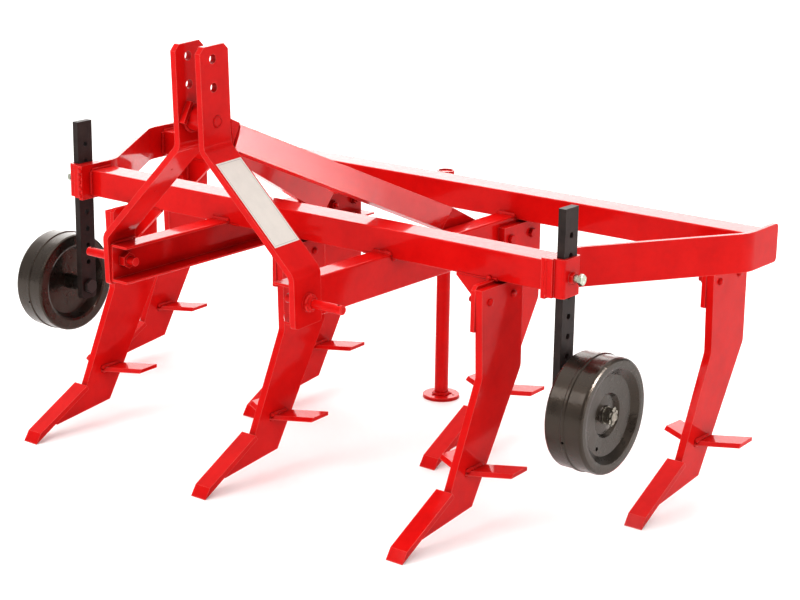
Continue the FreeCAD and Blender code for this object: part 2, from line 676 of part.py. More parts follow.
# ---------------------------------------------------------------- gauge wheels
for word, s in SIDES:
    # clamp: pad block against the side plate and a strap round the arm
    name = "wheel_clamp_" + word
    b = new_body(name)
    sk = new_sketch(b, name + "_plan", "XY_Plane", clamp_low)
    xin = front_half + side_wall
    half = arm_wide / 2
    slot0, slot1 = arm_in - clamp_play, arm_in + arm_thick + clamp_play
    draw_polygon(sk, [(px * s, py) for px, py in
                      [(xin, -side_nose), (arm_in + 1, -side_nose), (arm_in + 1.5, arm_mid - half - 13),
                       (clamp_out, arm_mid - half - 13), (clamp_out, arm_mid + half + 8), (xin, arm_mid + half + 8)]])
    p = pad(b, sk, name + "_pad", clamp_tall)
    f = fillet(b, p, name + "_bend", 11,
               lambda e: along(e, Z) and abs(abs(mid(e).x) - clamp_out.value) < 0.5)
    sk = new_sketch(b, name + "_slot", "XY_Plane", clamp_low - 1)
    draw_polygon(sk, [(slot0 * s, arm_mid - half - clamp_play), (slot1 * s, arm_mid - half - clamp_play),
                      (slot1 * s, arm_mid + half + clamp_play), (slot0 * s, arm_mid + half + clamp_play)])
    pocket(b, sk, name + "_arm_slot", clamp_tall + 2)
    n0, n1 = span(s, clamp_out, clamp_out + 14)
    sk = new_sketch(b, name + "_boss", "YZ_Plane", n0)
    draw_polygon(sk, hexagon(arm_mid - 8, clamp_low + 57, 32))
    pad(b, sk, name + "_boss_pad", n1 - n0)
    doc.recompute()
    sk = new_sketch(b, name + "_screw", "YZ_Plane", span(s, slot1 - 3, clamp_out + 17)[0])
    draw_circle(sk, arm_mid - 8, clamp_low + 57, 20.4)
    pocket(b, sk, name + "_screw_hole", clamp_out + 17 - slot1 + 3)

    name = "clamp_screw_" + word
    b = new_body(name, y=arm_mid - 8, z=clamp_low + 57)
    reach = clamp_out + (28 if s > 0 else 20)      # the left screw is turned in a little further
    a0, a1 = span(s, arm_in + arm_thick + 0.3, reach + 1)
    sk = new_sketch(b, name + "_thread", "YZ_Plane", a0)
    draw_circle(sk, 0, 0, 20)
    pad(b, sk, name + "_thread_pad", a1 - a0)
    h0, h1 = span(s, reach, reach + 13)
    sk = new_sketch(b, name + "_head", "YZ_Plane", h0)
    draw_polygon(sk, hexagon(0, 0, 30))
    pad(b, sk, name + "_head_pad", h1 - h0)

    name = "wheel_arm_" + word
    b = new_body(name, y=arm_mid)
    x0, x1 = span(s, arm_in, arm_in + arm_thick)
    p = plate_yz(b, name, x0, x1, [(-half, arm_low), (half, arm_low), (half, arm_top), (-half, arm_top)])
    f = fillet(b, p, name + "_foot", 14, lambda e: along(e, X) and abs(mid(e).z - arm_low.value) < 0.5)
    f = fillet(b, f, name + "_edges", 1.5, lambda e: along(e, Z))
    sk = new_sketch(b, name + "_holes", "YZ_Plane", x0 - 1)
    for i in range(8):
        zc = axle_high + 87 + arm_step * i
        draw_circle(sk, 0, zc, arm_hole)
    pocket(b, sk, name + "_setting_holes", arm_thick + 2)
    sk = new_sketch(b, name + "_axle_hole", "YZ_Plane", x0 - 1)
    draw_circle(sk, 0, axle_high, axle_dia)
    pocket(b, sk, name + "_axle_seat", arm_thick + 2)

    name = "wheel_axle_" + word
    b = new_body(name, y=arm_mid, z=axle_high)
    out = wheel_in + wheel_wide
    a0, a1 = span(s, arm_in - 12, out + 2)
    sk = new_sketch(b, name + "_shaft", "YZ_Plane", a0)
    draw_circle(sk, 0, 0, axle_dia)
    pad(b, sk, name + "_shaft_pad", a1 - a0)
    h0, h1 = span(s, arm_in - 14, arm_in)
    sk = new_sketch(b, name + "_head", "YZ_Plane", h0)
    draw_polygon(sk, hexagon(0, 0, 44))
    pad(b, sk, name + "_head_pad", h1 - h0)
    c0, c1 = span(s, arm_in + arm_thick, wheel_in - 6)
    sk = new_sketch(b, name + "_collar", "YZ_Plane", c0)
    draw_circle(sk, 0, 0, 44)
    pad(b, sk, name + "_collar_pad", c1 - c0)
    w0, w1 = span(s, out - 26, out - 23)
    sk = new_sketch(b, name + "_washer", "YZ_Plane", w0)
    draw_circle(sk, 0, 0, 52)
    pad(b, sk, name + "_washer_pad", w1 - w0)
    n0, n1 = span(s, out - 23, out - 1)
    sk = new_sketch(b, name + "_nut", "YZ_Plane", n0)
    draw_polygon(sk, hexagon(0, 0, 44))
    pad(b, sk, name + "_nut_pad", n1 - n0)
    doc.recompute()
    sk = new_sketch(b, name + "_crown", "YZ_Plane", span(s, out - 8, out + 3)[0])
    for a in (0, 60, 120):
        ca, sa = math.cos(math.radians(a)), math.sin(math.radians(a))
        w, l0, l1 = 3.0, 15.6, 30.0
        for sg in (1, -1):
            draw_polygon(sk, [(sg * (l0 * ca) - w * sa, sg * (l0 * sa) + w * ca),
                              (sg * (l1 * ca) - w * sa, sg * (l1 * sa) + w * ca),
                              (sg * (l1 * ca) + w * sa, sg * (l1 * sa) - w * ca),
                              (sg * (l0 * ca) + w * sa, sg * (l0 * sa) - w * ca)])
    pocket(b, sk, name + "_crown_slots", 11)

    # two pressed dishes joined by a seam in the middle of the tread, on a hub tube
    name = "gauge_wheel_" + word
    b = new_body(name, y=arm_mid, z=axle_high)
    sk = new_sketch(b, name + "_section", "XY_Plane")
    R, t = wheel_rad, wheel_skin
    i0, o0 = wheel_in, wheel_in + wheel_wide
    m = wheel_in + wheel_wide / 2
    rb = wheel_bore / 2
    prof = [(i0 - 4, rb), (o0 - 27, rb), (o0 - 27, rb + 11),           # bore, outer hub end
            (o0 - 31, rb + 13), (o0 - 33, 58),                           # outer dish centre
            (o0 - 22, 66), (o0 - 19, 120), (o0 - 1, 141), (o0, 149), (o0, R - 9),
            (o0 - 3, R - 3), (o0 - 9, R), (m + 7, R), (m + 4, R + 3), (m - 4, R + 3), (m - 7, R),
            (i0 + 9, R), (i0 + 3, R - 3), (i0, R - 9), (i0, 138), (i0 + 3, 130),
            (i0 + 34, 116), (i0 + 34, rb + 12), (i0 - 4, rb + 9)]
    draw_polygon(sk, [(px * s, py) for px, py in prof])
    rev = b.newObject("PartDesign::Revolution", name + "_turned")
    rev.Profile = sk
    rev.ReferenceAxis = (sk, ["H_Axis"])
    rev.Angle = 360
    b.Tip = rev
    doc.recompute()
    sk = new_sketch(b, name + "_inside", "XY_Plane")
    cav = [(i0 + 34 + t, rb + 14), (o0 - 33 - t, rb + 14), (o0 - 33 - t, 60), (o0 - 22 - t, 68), (o0 - 19 - t, 122),
           (o0 - t - 1, 143), (o0 - t, 151), (o0 - t, R - 12), (o0 - 10, R - t), (i0 + 10, R - t), (i0 + t, R - 12), (i0 + t, 141),
           (i0 + t + 3, 134), (i0 + 34 + t, 120)]
    draw_polygon(sk, [(px * s, py) for px, py in cav])
    gr = b.newObject("PartDesign::Groove", name + "_hollow")
    gr.Profile = sk
    gr.ReferenceAxis = (sk, ["H_Axis"])
    gr.Angle = 360
    v0 = rev.Shape.Volume
    b.Tip = gr
    doc.recompute()
    if not b.Shape.Volume < v0 - 1:
        raise RuntimeError("wheel groove cuts nothing")
    # drain holes in the outer dish and in the tread
    sk = new_sketch(b, name + "_drain_a", "YZ_Plane", span(s, o0 - 40, o0 + 5)[0])
    draw_circle(sk, -52, -88, 12)
    pocket(b, sk, name + "_drain_dish", 45)
    sk = new_sketch(b, name + "_drain_b", "XZ_Plane", 130)
    draw_circle(sk, (i0 + 64) * s, -47, 8)
    pocket(b, sk, name + "_drain_tread", 60)

# ---------------------------------------------------------------- parking stand
b = new_body("stand_sleeve", x=stand_side, y=stand_back)
sk = new_sketch(b, "stand_sleeve_ring", "XY_Plane", sleeve_low)
draw_circle(sk, 0, 0, sleeve_dia)
pad(b, sk, "stand_sleeve_pad", sleeve_top - sleeve_low)
doc.recompute()
sk = new_sketch(b, "stand_sleeve_flat", "XY_Plane", beam_low)
draw_polygon(sk, [(-14, -(sleeve_dia / 2) + 4), (14, -(sleeve_dia / 2) + 4),
                  (14, rail_rear - stand_back), (-14, rail_rear - stand_back)])
pad(b, sk, "stand_sleeve_foot", beam_tall)
doc.recompute()
sk = new_sketch(b, "stand_sleeve_bore", "XY_Plane", sleeve_low - 1)
draw_circle(sk, 0, 0, sleeve_bore)
pocket(b, sk, "stand_sleeve_hollow", sleeve_top - sleeve_low + 2)

b = new_body("stand_tube", x=stand_side, y=stand_back)
sk = new_sketch(b, "stand_tube_ring", "XY_Plane", stand_plate)
draw_circle(sk, 0, 0, stand_dia)
pad(b, sk, "stand_tube_pad", stand_top - stand_plate)
doc.recompute()
sk = new_sketch(b, "stand_tube_bore", "XY_Plane", stand_plate - 1)
draw_circle(sk, 0, 0, stand_dia - stand_wall * 2)
pocket(b, sk, "stand_tube_hollow", stand_top - stand_plate - 4)

b = new_body("stand_foot", x=stand_side, y=stand_back)
sk = new_sketch(b, "stand_foot_disc", "XY_Plane")
draw_circle(sk, 0, 0, stand_foot)
p = pad(b, sk, "stand_foot_pad", stand_plate)
chamfer(b, p, "stand_foot_edge", 2, lambda e: abs(mid(e).z - stand_plate.value) < 0.1)
sk = new_sketch(b, "stand_foot_hole", "XY_Plane", -1)
draw_circle(sk, 46, 10, 10)
pocket(b, sk, "stand_foot_drain", stand_plate + 2)

# ---------------------------------------------------------------- check and write
doc.recompute()
bad = []
for obj in doc.Objects:
    if "Invalid" in obj.State or "Error" in obj.State:
        bad.append("%s %s" % (obj.Name, obj.State))
for obj in made:
    if obj.Shape.isNull() or not obj.Shape.isValid() or not obj.Shape.Solids:
        bad.append("%s has no valid shape" % obj.Label)
if bad:
    raise RuntimeError("; ".join(bad))

os.makedirs("parts", exist_ok=True)
total = 0.0
low, high = [1e9] * 3, [-1e9] * 3
for obj in made:
    shape = obj.Shape
    shape.exportStep("parts/%s.step" % obj.Label)
    total += shape.Volume
    bb = shape.BoundBox
    for i, (a, c) in enumerate(((bb.XMin, bb.XMax), (bb.YMin, bb.YMax), (bb.ZMin, bb.ZMax))):
        low[i], high[i] = min(low[i], a), max(high[i], c)
    print("%-28s solids %d  kg %.2f" % (obj.Label, len(shape.Solids), shape.Volume * 7.85e-6))
print("parts", len(made), "steel kg %.1f" % (total * 7.85e-6))
print("box", [round(v, 2) for v in low], [round(v, 2) for v in high])
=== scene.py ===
import math
import bpy
from mathutils import Vector, Matrix, noise


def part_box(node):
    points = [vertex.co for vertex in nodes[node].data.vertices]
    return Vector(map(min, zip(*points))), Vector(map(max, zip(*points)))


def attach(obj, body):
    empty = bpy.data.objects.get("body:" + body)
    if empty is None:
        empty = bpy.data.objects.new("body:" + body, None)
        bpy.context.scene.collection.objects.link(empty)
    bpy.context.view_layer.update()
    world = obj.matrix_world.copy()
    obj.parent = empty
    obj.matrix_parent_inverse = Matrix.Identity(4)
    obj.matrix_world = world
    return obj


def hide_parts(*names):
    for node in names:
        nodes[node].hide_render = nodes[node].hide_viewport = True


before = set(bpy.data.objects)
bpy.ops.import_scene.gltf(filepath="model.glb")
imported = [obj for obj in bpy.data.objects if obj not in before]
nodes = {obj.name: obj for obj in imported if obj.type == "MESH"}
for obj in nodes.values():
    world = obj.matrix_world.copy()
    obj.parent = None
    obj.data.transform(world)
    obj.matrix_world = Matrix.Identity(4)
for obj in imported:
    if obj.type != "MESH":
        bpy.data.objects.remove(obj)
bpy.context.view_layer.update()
scene = bpy.context.scene

# Pieces are written in millimetres from the front face of the front beam, which is
# where the frame's own boxes put it. w() turns such a point into the frame's metres.
Y0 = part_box("front_beam")[0].y


def w(x, y, z):
    return Vector((x * 0.001, Y0 + y * 0.001, z * 0.001))


def mm(node):
    """A node's box in those same millimetres."""
    lo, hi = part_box(node)
    return ([lo.x * 1000, (lo.y - Y0) * 1000, lo.z * 1000],
            [hi.x * 1000, (hi.y - Y0) * 1000, hi.z * 1000])


# ------------------------------------------------------------------ materials
def new_material(name):
    m = bpy.data.materials.new(name)
    m.use_nodes = True
    nt = m.node_tree
    for n in list(nt.nodes):
        nt.nodes.remove(n)
    out = nt.nodes.new("ShaderNodeOutputMaterial")
    bsdf = nt.nodes.new("ShaderNodeBsdfPrincipled")
    nt.links.new(bsdf.outputs["BSDF"], out.inputs["Surface"])
    return m, nt, bsdf


def tex_noise(nt, coord, scale, detail=2.0, rough=0.5, dist=0.0):
    n = nt.nodes.new("ShaderNodeTexNoise")
    n.inputs["Scale"].default_value = scale
    n.inputs["Detail"].default_value = detail
    n.inputs["Roughness"].default_value = rough
    n.inputs["Distortion"].default_value = dist
    nt.links.new(coord, n.inputs["Vector"])
    return n.outputs["Fac"]


def ramp(nt, fac, stops):
    r = nt.nodes.new("ShaderNodeValToRGB")
    el = r.color_ramp.elements
    el[0].position, el[0].color = stops[0][0], tuple(stops[0][1]) + (1.0,)
    el[1].position, el[1].color = stops[-1][0], tuple(stops[-1][1]) + (1.0,)
    for pos, col in stops[1:-1]:
        e = el.new(pos)
        e.color = tuple(col) + (1.0,)
    nt.links.new(fac, r.inputs["Fac"])
    return r.outputs["Color"]


def math_node(nt, op, a, b=0.0, c=0.0, clamp=False):
    n = nt.nodes.new("ShaderNodeMath")
    n.operation = op
    n.use_clamp = clamp
    for i, v in enumerate((a, b, c)):
        if hasattr(v, "is_output"):
            nt.links.new(v, n.inputs[i])
        else:
            n.inputs[i].default_value = v
    return n.outputs[0]


def map_range(nt, v, a, b, c, d, smooth=False):
    n = nt.nodes.new("ShaderNodeMapRange")
    n.interpolation_type = "SMOOTHSTEP" if smooth else "LINEAR"
    nt.links.new(v, n.inputs["Value"])
    for k, x in zip(("From Min", "From Max", "To Min", "To Max"), (a, b, c, d)):
        n.inputs[k].default_value = x
    return n.outputs["Result"]


def bump(nt, height, strength, distance, normal=None):
    n = nt.nodes.new("ShaderNodeBump")
    n.inputs["Strength"].default_value = strength
    n.inputs["Distance"].default_value = distance
    nt.links.new(height, n.inputs["Height"])
    if normal is not None:
        nt.links.new(normal, n.inputs["Normal"])
    return n.outputs["Normal"]


def mix_rgb(nt, fac, a, b, blend="MIX"):
    n = nt.nodes.new("ShaderNodeMix")
    n.data_type = "RGBA"
    n.blend_type = blend
    if hasattr(fac, "is_output"):
        nt.links.new(fac, n.inputs[0])
    else:
        n.inputs[0].default_value = fac
    for i, v in ((6, a), (7, b)):
        if hasattr(v, "is_output"):
            nt.links.new(v, n.inputs[i])
        else:
            n.inputs[i].default_value = tuple(v) + (1.0,)
    return n.outputs[2]


def coords(nt):
    return nt.nodes.new("ShaderNodeTexCoord").outputs["Object"]


def bevel(nt, radius):
    n = nt.nodes.new("ShaderNodeBevel")
    n.samples = 4
    n.inputs["Radius"].default_value = radius
    return n.outputs["Normal"]


def painted_corner_shade(nt, reach, low):
    """Painted shade for a colour: 1 on open faces, falling to low deep in corners."""
    n = nt.nodes.new("ShaderNodeAmbientOcclusion")
    n.samples = 6
    n.inputs["Distance"].default_value = reach
    return map_range(nt, n.outputs["AO"], 0.22, 0.86, low, 1.0)


def red_paint(name, base=(0.66, 0.0066, 0.0058), edge=0.0014, peel=1.0):
    """Sprayed gloss enamel over rolled and welded steel: slow waves in the steel, a fine orange peel, a few dust nibs
    and a slowly wandering deeper and paler tone. Its colour also carries painted shade, darkened deep in corners, and
    a painted highlight, paled along sharp edges."""
    m, nt, b = new_material(name)
    c = coords(nt)
    slow = tex_noise(nt, c, 9.0, 3.0, 0.55)
    mid = tex_noise(nt, c, 55.0, 4.0, 0.6)
    fine = tex_noise(nt, c, 420.0, 2.0, 0.5)
    nib = tex_noise(nt, c, 900.0, 1.0, 0.5)
    dark = (base[0] * 0.90, base[1] * 0.80, base[2] * 0.85)
    lite = (min(base[0] * 1.05, 0.95), base[1] * 1.3, base[2] * 1.2)
    col = ramp(nt, slow, [(0.30, dark), (0.52, base), (0.75, lite)])
    col2 = ramp(nt, mid, [(0.30, (0.86, 0.84, 0.84)), (0.55, (1.0, 1.0, 1.0))])
    col = mix_rgb(nt, 0.35, col, col2, "MULTIPLY")
    # painted shade: the base colour is scaled down deep in corners and creases
    shade = nt.nodes.new("ShaderNodeVectorMath")
    shade.operation = "SCALE"
    nt.links.new(col, shade.inputs[0])
    nt.links.new(painted_corner_shade(nt, 0.080, 0.46), shade.inputs["Scale"])
    if edge > 0.001:
        # painted highlight: the base colour is mixed towards pale pink along sharp edges, where the bevelled normal
        # turns away from the face
        geo = nt.nodes.new("ShaderNodeNewGeometry")
        dot = nt.nodes.new("ShaderNodeVectorMath")
        dot.operation = "DOT_PRODUCT"
        nt.links.new(bevel(nt, 0.0034), dot.inputs[0])
        nt.links.new(geo.outputs["Normal"], dot.inputs[1])
        painted_edge_highlight = map_range(nt, dot.outputs["Value"], 0.998, 0.95, 0.0, 0.42, True)
        nt.links.new(mix_rgb(nt, painted_edge_highlight, shade.outputs[0], (0.84, 0.20, 0.17)), b.inputs["Base Color"])
    else:
        nt.links.new(shade.outputs[0], b.inputs["Base Color"])
    nt.links.new(map_range(nt, mid, 0.3, 0.7, 0.34, 0.46), b.inputs["Roughness"])
    b.inputs["IOR"].default_value = 1.45
    b.inputs["Specular IOR Level"].default_value = 0.03
    b.inputs["Coat Weight"].default_value = 1.0
    b.inputs["Coat Roughness"].default_value = 0.06
    b.inputs["Coat IOR"].default_value = 1.187
    nrm = bevel(nt, edge)
    n1 = bump(nt, slow, 0.30 * peel, 0.0016, nrm)
    n2 = bump(nt, mid, 0.22 * peel, 0.0003, n1)
    n3 = bump(nt, fine, 0.25 * peel, 0.00008, n2)
    spots = map_range(nt, nib, 0.74, 0.80, 0.0, 1.0, True)
    n4 = bump(nt, spots, 0.5, 0.00012, n3)
    nt.links.new(n4, b.inputs["Normal"])
    nt.links.new(n4, b.inputs["Coat Normal"])
    return m


def black_paint(name, base=(0.016, 0.0125, 0.0110), edge=0.0018, coat=0.9, coat_rough=0.10, rough=(0.30, 0.46),
                coat_ior=1.34, spec=0.10, tint=(1.0, 1.0, 1.0), wave=22.0, wave_high=0.0020):
    m, nt, b = new_material(name)
    c = coords(nt)
    slow = tex_noise(nt, c, wave, 4.0, 0.6)
    fine = tex_noise(nt, c, 500.0, 2.0, 0.5)
    col = ramp(nt, slow, [(0.3, tuple(x * 0.7 for x in base)), (0.7, tuple(x * 1.6 for x in base))])
    nt.links.new(col, b.inputs["Base Color"])
    nt.links.new(map_range(nt, slow, 0.3, 0.7, *rough), b.inputs["Roughness"])
    b.inputs["Specular IOR Level"].default_value = spec
    b.inputs["Specular Tint"].default_value = (*tint, 1.0)
    b.inputs["Coat Weight"].default_value = coat
    b.inputs["Coat Roughness"].default_value = coat_rough
    b.inputs["Coat IOR"].default_value = coat_ior
    nrm = bevel(nt, edge)
    n1 = bump(nt, slow, 0.4, wave_high, nrm)
    n2 = bump(nt, fine, 0.35, 0.00012, n1)
    nt.links.new(n2, b.inputs["Normal"])
    nt.links.new(n2, b.inputs["Coat Normal"])
    return m


def metal(name, base, rough, edge=0.0008, metallic=1.0, brushed=0.0, stain=(0.5, 0.5, 0.5)):
    m, nt, b = new_material(name)
    c = coords(nt)
    slow = tex_noise(nt, c, 70.0, 4.0, 0.6)
    fine = tex_noise(nt, c, 700.0, 2.0, 0.5)
    col = ramp(nt, slow, [(0.3, tuple(x * s for x, s in zip(base, stain))), (0.62, base)])
    nt.links.new(col, b.inputs["Base Color"])
    b.inputs["Metallic"].default_value = metallic
    nt.links.new(map_range(nt, slow, 0.3, 0.7, rough + 0.12, rough - 0.05), b.inputs["Roughness"])
    nrm = bevel(nt, edge)
    n1 = bump(nt, slow, 0.3, 0.0006, nrm)
    n2 = bump(nt, fine, 0.4, 0.00010, n1)
    nt.links.new(n2, b.inputs["Normal"])
    return m


def label_material(name, base, rough=0.35):
    m, nt, b = new_material(name)
    c = coords(nt)
    slow = tex_noise(nt, c, 30.0, 3.0, 0.6)
    col = ramp(nt, slow, [(0.25, tuple(x * 0.93 for x in base)), (0.7, base)])
    nt.links.new(col, b.inputs["Base Color"])
    nt.links.new(map_range(nt, slow, 0.3, 0.7, rough, rough + 0.1), b.inputs["Roughness"])
    nt.links.new(bump(nt, slow, 0.25, 0.0008), b.inputs["Normal"])
    return m


RED = red_paint("red_enamel")
RED_WELD = red_paint("red_enamel_on_weld", base=(0.62, 0.0074, 0.0062), edge=0.0006, peel=1.4)
BLACK = black_paint("black_enamel", base=(0.024, 0.0160, 0.0140), coat=0.40, coat_rough=0.42, rough=(0.48, 0.62))
WHEEL = black_paint("black_wheel_enamel", base=(0.013, 0.0095, 0.0072), coat=0.22, coat_rough=0.07, rough=(0.17, 0.40),
                    coat_ior=1.50, spec=0.50, tint=(1.0, 0.78, 0.62), wave=11.0, wave_high=0.0052)
STEEL = metal("dark_turned_steel", (0.16, 0.145, 0.12), 0.38)
BRIGHT = metal("worn_bright_steel", (0.50, 0.46, 0.40), 0.30)


def axle_material():
    """Dark turned steel at the nut, black paint where the axle stands in the arm."""
    m, nt, b = new_material("axle_steel_and_paint")
    c = coords(nt)
    xyz = nt.nodes.new("ShaderNodeSeparateXYZ")
    nt.links.new(c, xyz.inputs[0])
    slow = tex_noise(nt, c, 70.0, 4.0, 0.6)
    fine = tex_noise(nt, c, 700.0, 2.0, 0.5)
    far = map_range(nt, math_node(nt, "ABSOLUTE", xyz.outputs[0]), 1.040, 1.046, 0.0, 1.0)
    steel = ramp(nt, slow, [(0.3, (0.12, 0.105, 0.085)), (0.62, (0.30, 0.275, 0.235))])
    nt.links.new(mix_rgb(nt, far, (0.020, 0.014, 0.012), steel), b.inputs["Base Color"])
    nt.links.new(far, b.inputs["Metallic"])
    nt.links.new(map_range(nt, slow, 0.3, 0.7, 0.48, 0.34), b.inputs["Roughness"])
    n1 = bump(nt, slow, 0.3, 0.0006, bevel(nt, 0.0010))
    nt.links.new(bump(nt, fine, 0.4, 0.00010, n1), b.inputs["Normal"])
    return m


AXLE = axle_material()
ZINC = metal("zinc_plate", (0.56, 0.57, 0.49), 0.27, stain=(0.62, 0.66, 0.58))
LABEL = label_material("blank_label", (0.74, 0.68, 0.63))
LABEL_EDGE = label_material("blank_label_border", (0.42, 0.40, 0.38))

for name, o in nodes.items():
    slot = o.data.materials[0].name if o.data.materials else "red_paint"
    mat = RED
    if slot == "black_paint":
        mat = WHEEL if name.startswith("gauge_wheel") else BLACK
    elif slot == "dark_steel":
        mat = AXLE
    elif slot == "zinc_steel":
        mat = ZINC
    for s in o.material_slots:
        s.material = mat


# ---------------------------------------------------------------- mesh toolkit
class Builder:
    """Collects faces in the frame's metres and makes one mesh of them."""

    def __init__(self):
        self.v = []
        self.f = []
        self.m = []
        self.s = []

    def add(self, verts, faces, mat=0, smooth=True):
        k = len(self.v)
        self.v.extend(verts)
        for f in faces:
            self.f.append([i + k for i in f])
            self.m.append(mat)
            self.s.append(smooth)

    def make(self, name, mats, body):
        me = bpy.data.meshes.new(name)
        me.from_pydata([tuple(v) for v in self.v], [], self.f)
        me.update()
        for m in mats:
            me.materials.append(m)
        me.polygons.foreach_set("material_index", self.m)
        me.polygons.foreach_set("use_smooth", self.s)
        o = bpy.data.objects.new(name, me)
        scene.collection.objects.link(o)
        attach(o, body)
        return o


def tube_of_sections(b, rings, closed_path, closed_ring=True, caps=True, mat=0, smooth=True):
    """Skins a list of rings of points."""
    n = len(rings[0])
    verts = [p for r in rings for p in r]
    faces = []
    count = len(rings)
    for i in range(count if closed_path else count - 1):
        a, c = i * n, ((i + 1) % count) * n
        for j in range(n if closed_ring else n - 1):
            k = (j + 1) % n
            faces.append([a + j, a + k, c + k, c + j])
    if caps and not closed_path:
        faces.append(list(range(n))[::-1])
        faces.append([(count - 1) * n + j for j in range(n)])
    b.add(verts, faces, mat, smooth)


def bead_size(s, seed, length, closed):
    """How full the bead is at arc length s (mm): solidified ripples, slow wander, full ends."""
    ripple = 0.10 * abs(math.sin(math.pi * (s / 4.6 + 0.35 * noise.noise(Vector((s / 9.0, seed, 3.1))))))
    wander = 0.20 * noise.noise(Vector((s / 17.0, seed * 1.7, 0.3))) + 0.10 * noise.noise(Vector((s / 6.0, seed, 7.7)))
    k = 0.93 + ripple + wander
    if not closed:
        e = min(s, length - s)
        if e < 5.0:
            k *= math.sqrt(max(0.0, 1.0 - ((5.0 - max(e, 0.0)) / 5.0) ** 2)) * 0.85 + 0.15
    return k


def fillet(b, p0, p1, n_a, n_b, size=8.0, seed=0.0, step=2.4, mat=0):
    """A weld bead in the corner where faces with normals n_a and n_b meet, from p0 to p1 (mm)."""
    a, c = Vector(p0), Vector(p1)
    run = c - a
    length = run.length
    t = run.normalized()
    na, nb = Vector(n_a).normalized(), Vector(n_b).normalized()
    count = max(4, int(length / step))
    rings = []
    for i in range(count + 1):
        s = length * i / count
        k = bead_size(s, seed + a.x * 0.013 + a.y * 0.007 + a.z * 0.011, length, False)
        jog = 0.6 * noise.noise(Vector((s / 11.0, seed, 9.9)))
        o = a + t * s
        ring = []
        for j in range(7):
            th = math.pi / 2 * j / 6
            r = size * k * (0.90 + 0.10 * abs(math.cos(2 * th)))
            p = o + (nb * math.cos(th) + na * math.sin(th)) * (r + jog)
            if j == 0:
                p -= na * 1.2
            if j == 6:
                p -= nb * 1.2
            ring.append(w(*p))
        back = o - (na + nb) * 1.0
        ring.append(w(*back))
        rings.append(ring)
    tube_of_sections(b, rings, False, mat=mat)


def ridge(b, p0, p1, normal, width=10.0, height=3.0, seed=0.0, step=2.4, mat=0):
    """A weld bead on a butt joint: a low mound along p0-p1 on a face with this normal (mm)."""
    a, c = Vector(p0), Vector(p1)
    run = c - a
    length = run.length
    t = run.normalized()
    n = Vector(normal).normalized()
    side = t.cross(n).normalized()
    count = max(4, int(length / step))
    rings = []
    for i in range(count + 1):
        s = length * i / count
        k = bead_size(s, seed + a.x * 0.013 + a.y * 0.007 + a.z * 0.011, length, False)
        o = a + t * s + side * 0.7 * noise.noise(Vector((s / 12.0, seed, 5.5)))
        ring = []
        for j in range(7):
            th = math.pi * j / 6
            ring.append(w(*(o + side * math.cos(th) * width * 0.5 * k + n * (math.sin(th) * height * k - 0.8))))
        ring.append(w(*(o - n * 1.8)))
        rings.append(ring)
    tube_of_sections(b, rings, False, mat=mat)


def ring_bead(b, centre, axis, radius, size=6.0, seed=0.0, step=2.6, span=(0.0, 360.0), ref=None, inner=False, mat=0):
    """A bead round a pin or tube of this radius where it meets a face whose normal is axis (mm)."""
    o, ax = Vector(centre), Vector(axis).normalized()
    u = Vector(ref) if ref else ax.orthogonal()
    u = (u - ax * u.dot(ax)).normalized()
    v = ax.cross(u)
    closed = span[1] - span[0] >= 359.9
    arc = math.radians(span[1] - span[0])
    length = radius * arc
    count = max(12, int(length / step))
    rings = []
    for i in range(count if closed else count + 1):
        ang = math.radians(span[0]) + arc * i / count
        d = u * math.cos(ang) + v * math.sin(ang)
        s = length * i / count
        if closed:
            q = Vector((math.cos(ang) * radius / 14.0, math.sin(ang) * radius / 14.0, seed))
            k = 0.95 + 0.22 * noise.noise(q) + 0.12 * noise.noise(q * 2.7) + 0.10 * abs(math.sin(math.pi * count * step / 4.6 * i / count))
        else:
            k = bead_size(s, seed, length, False)
        sg = -1.0 if inner else 1.0
        c = o + d * radius
        ring = []
        for j in range(7):
            th = math.pi / 2 * j / 6
            r = size * k * (0.90 + 0.10 * abs(math.cos(2 * th)))
            p = c + d * sg * math.cos(th) * r + ax * math.sin(th) * r
            if j == 0:
                p -= ax * 1.2
            if j == 6:
                p -= d * sg * 1.2
            ring.append(w(*p))
        ring.append(w(*(c - d * sg * 1.0 - ax * 1.0)))
        rings.append(ring)
    tube_of_sections(b, rings, closed, mat=mat)


def lathe(b, centre, axis, profile, segments=48, ref=None, mat=0, smooth=True, shape=None):
    """Turns profile [(radius, height), ...] about axis. shape(angle) may scale the radius."""
    o, ax = Vector(centre), Vector(axis).normalized()
    u = Vector(ref) if ref else ax.orthogonal()
    u = (u - ax * u.dot(ax)).normalized()
    v = ax.cross(u)
    rings = []
    for r, h in profile:
        ring = []
        for i in range(segments):
            ang = 2 * math.pi * i / segments
            rr = r * (shape(ang) if shape else 1.0)
            ring.append(w(*(o + (u * math.cos(ang) + v * math.sin(ang)) * rr + ax * h)))
        rings.append(ring)
    tube_of_sections(b, rings, False, True, True, mat, smooth)


def blob(b, centre, normal, radius=9.0, height=5.0, seed=0.0, mat=0):
    """One spot of weld metal or a thick nib of paint on a face (mm)."""
    prof = [(1.00, -0.25), (0.99, 0.10), (0.93, 0.42), (0.78, 0.72), (0.52, 0.93), (0.22, 1.0), (0.02, 1.01)]
    def lump(t):
        return 1.0 + 0.22 * noise.noise(Vector((math.cos(t) * 0.9, math.sin(t) * 0.9, seed)))
    lathe(b, centre, normal, [(r * radius, h * height) for r, h in prof], 20, mat=mat, shape=lump)


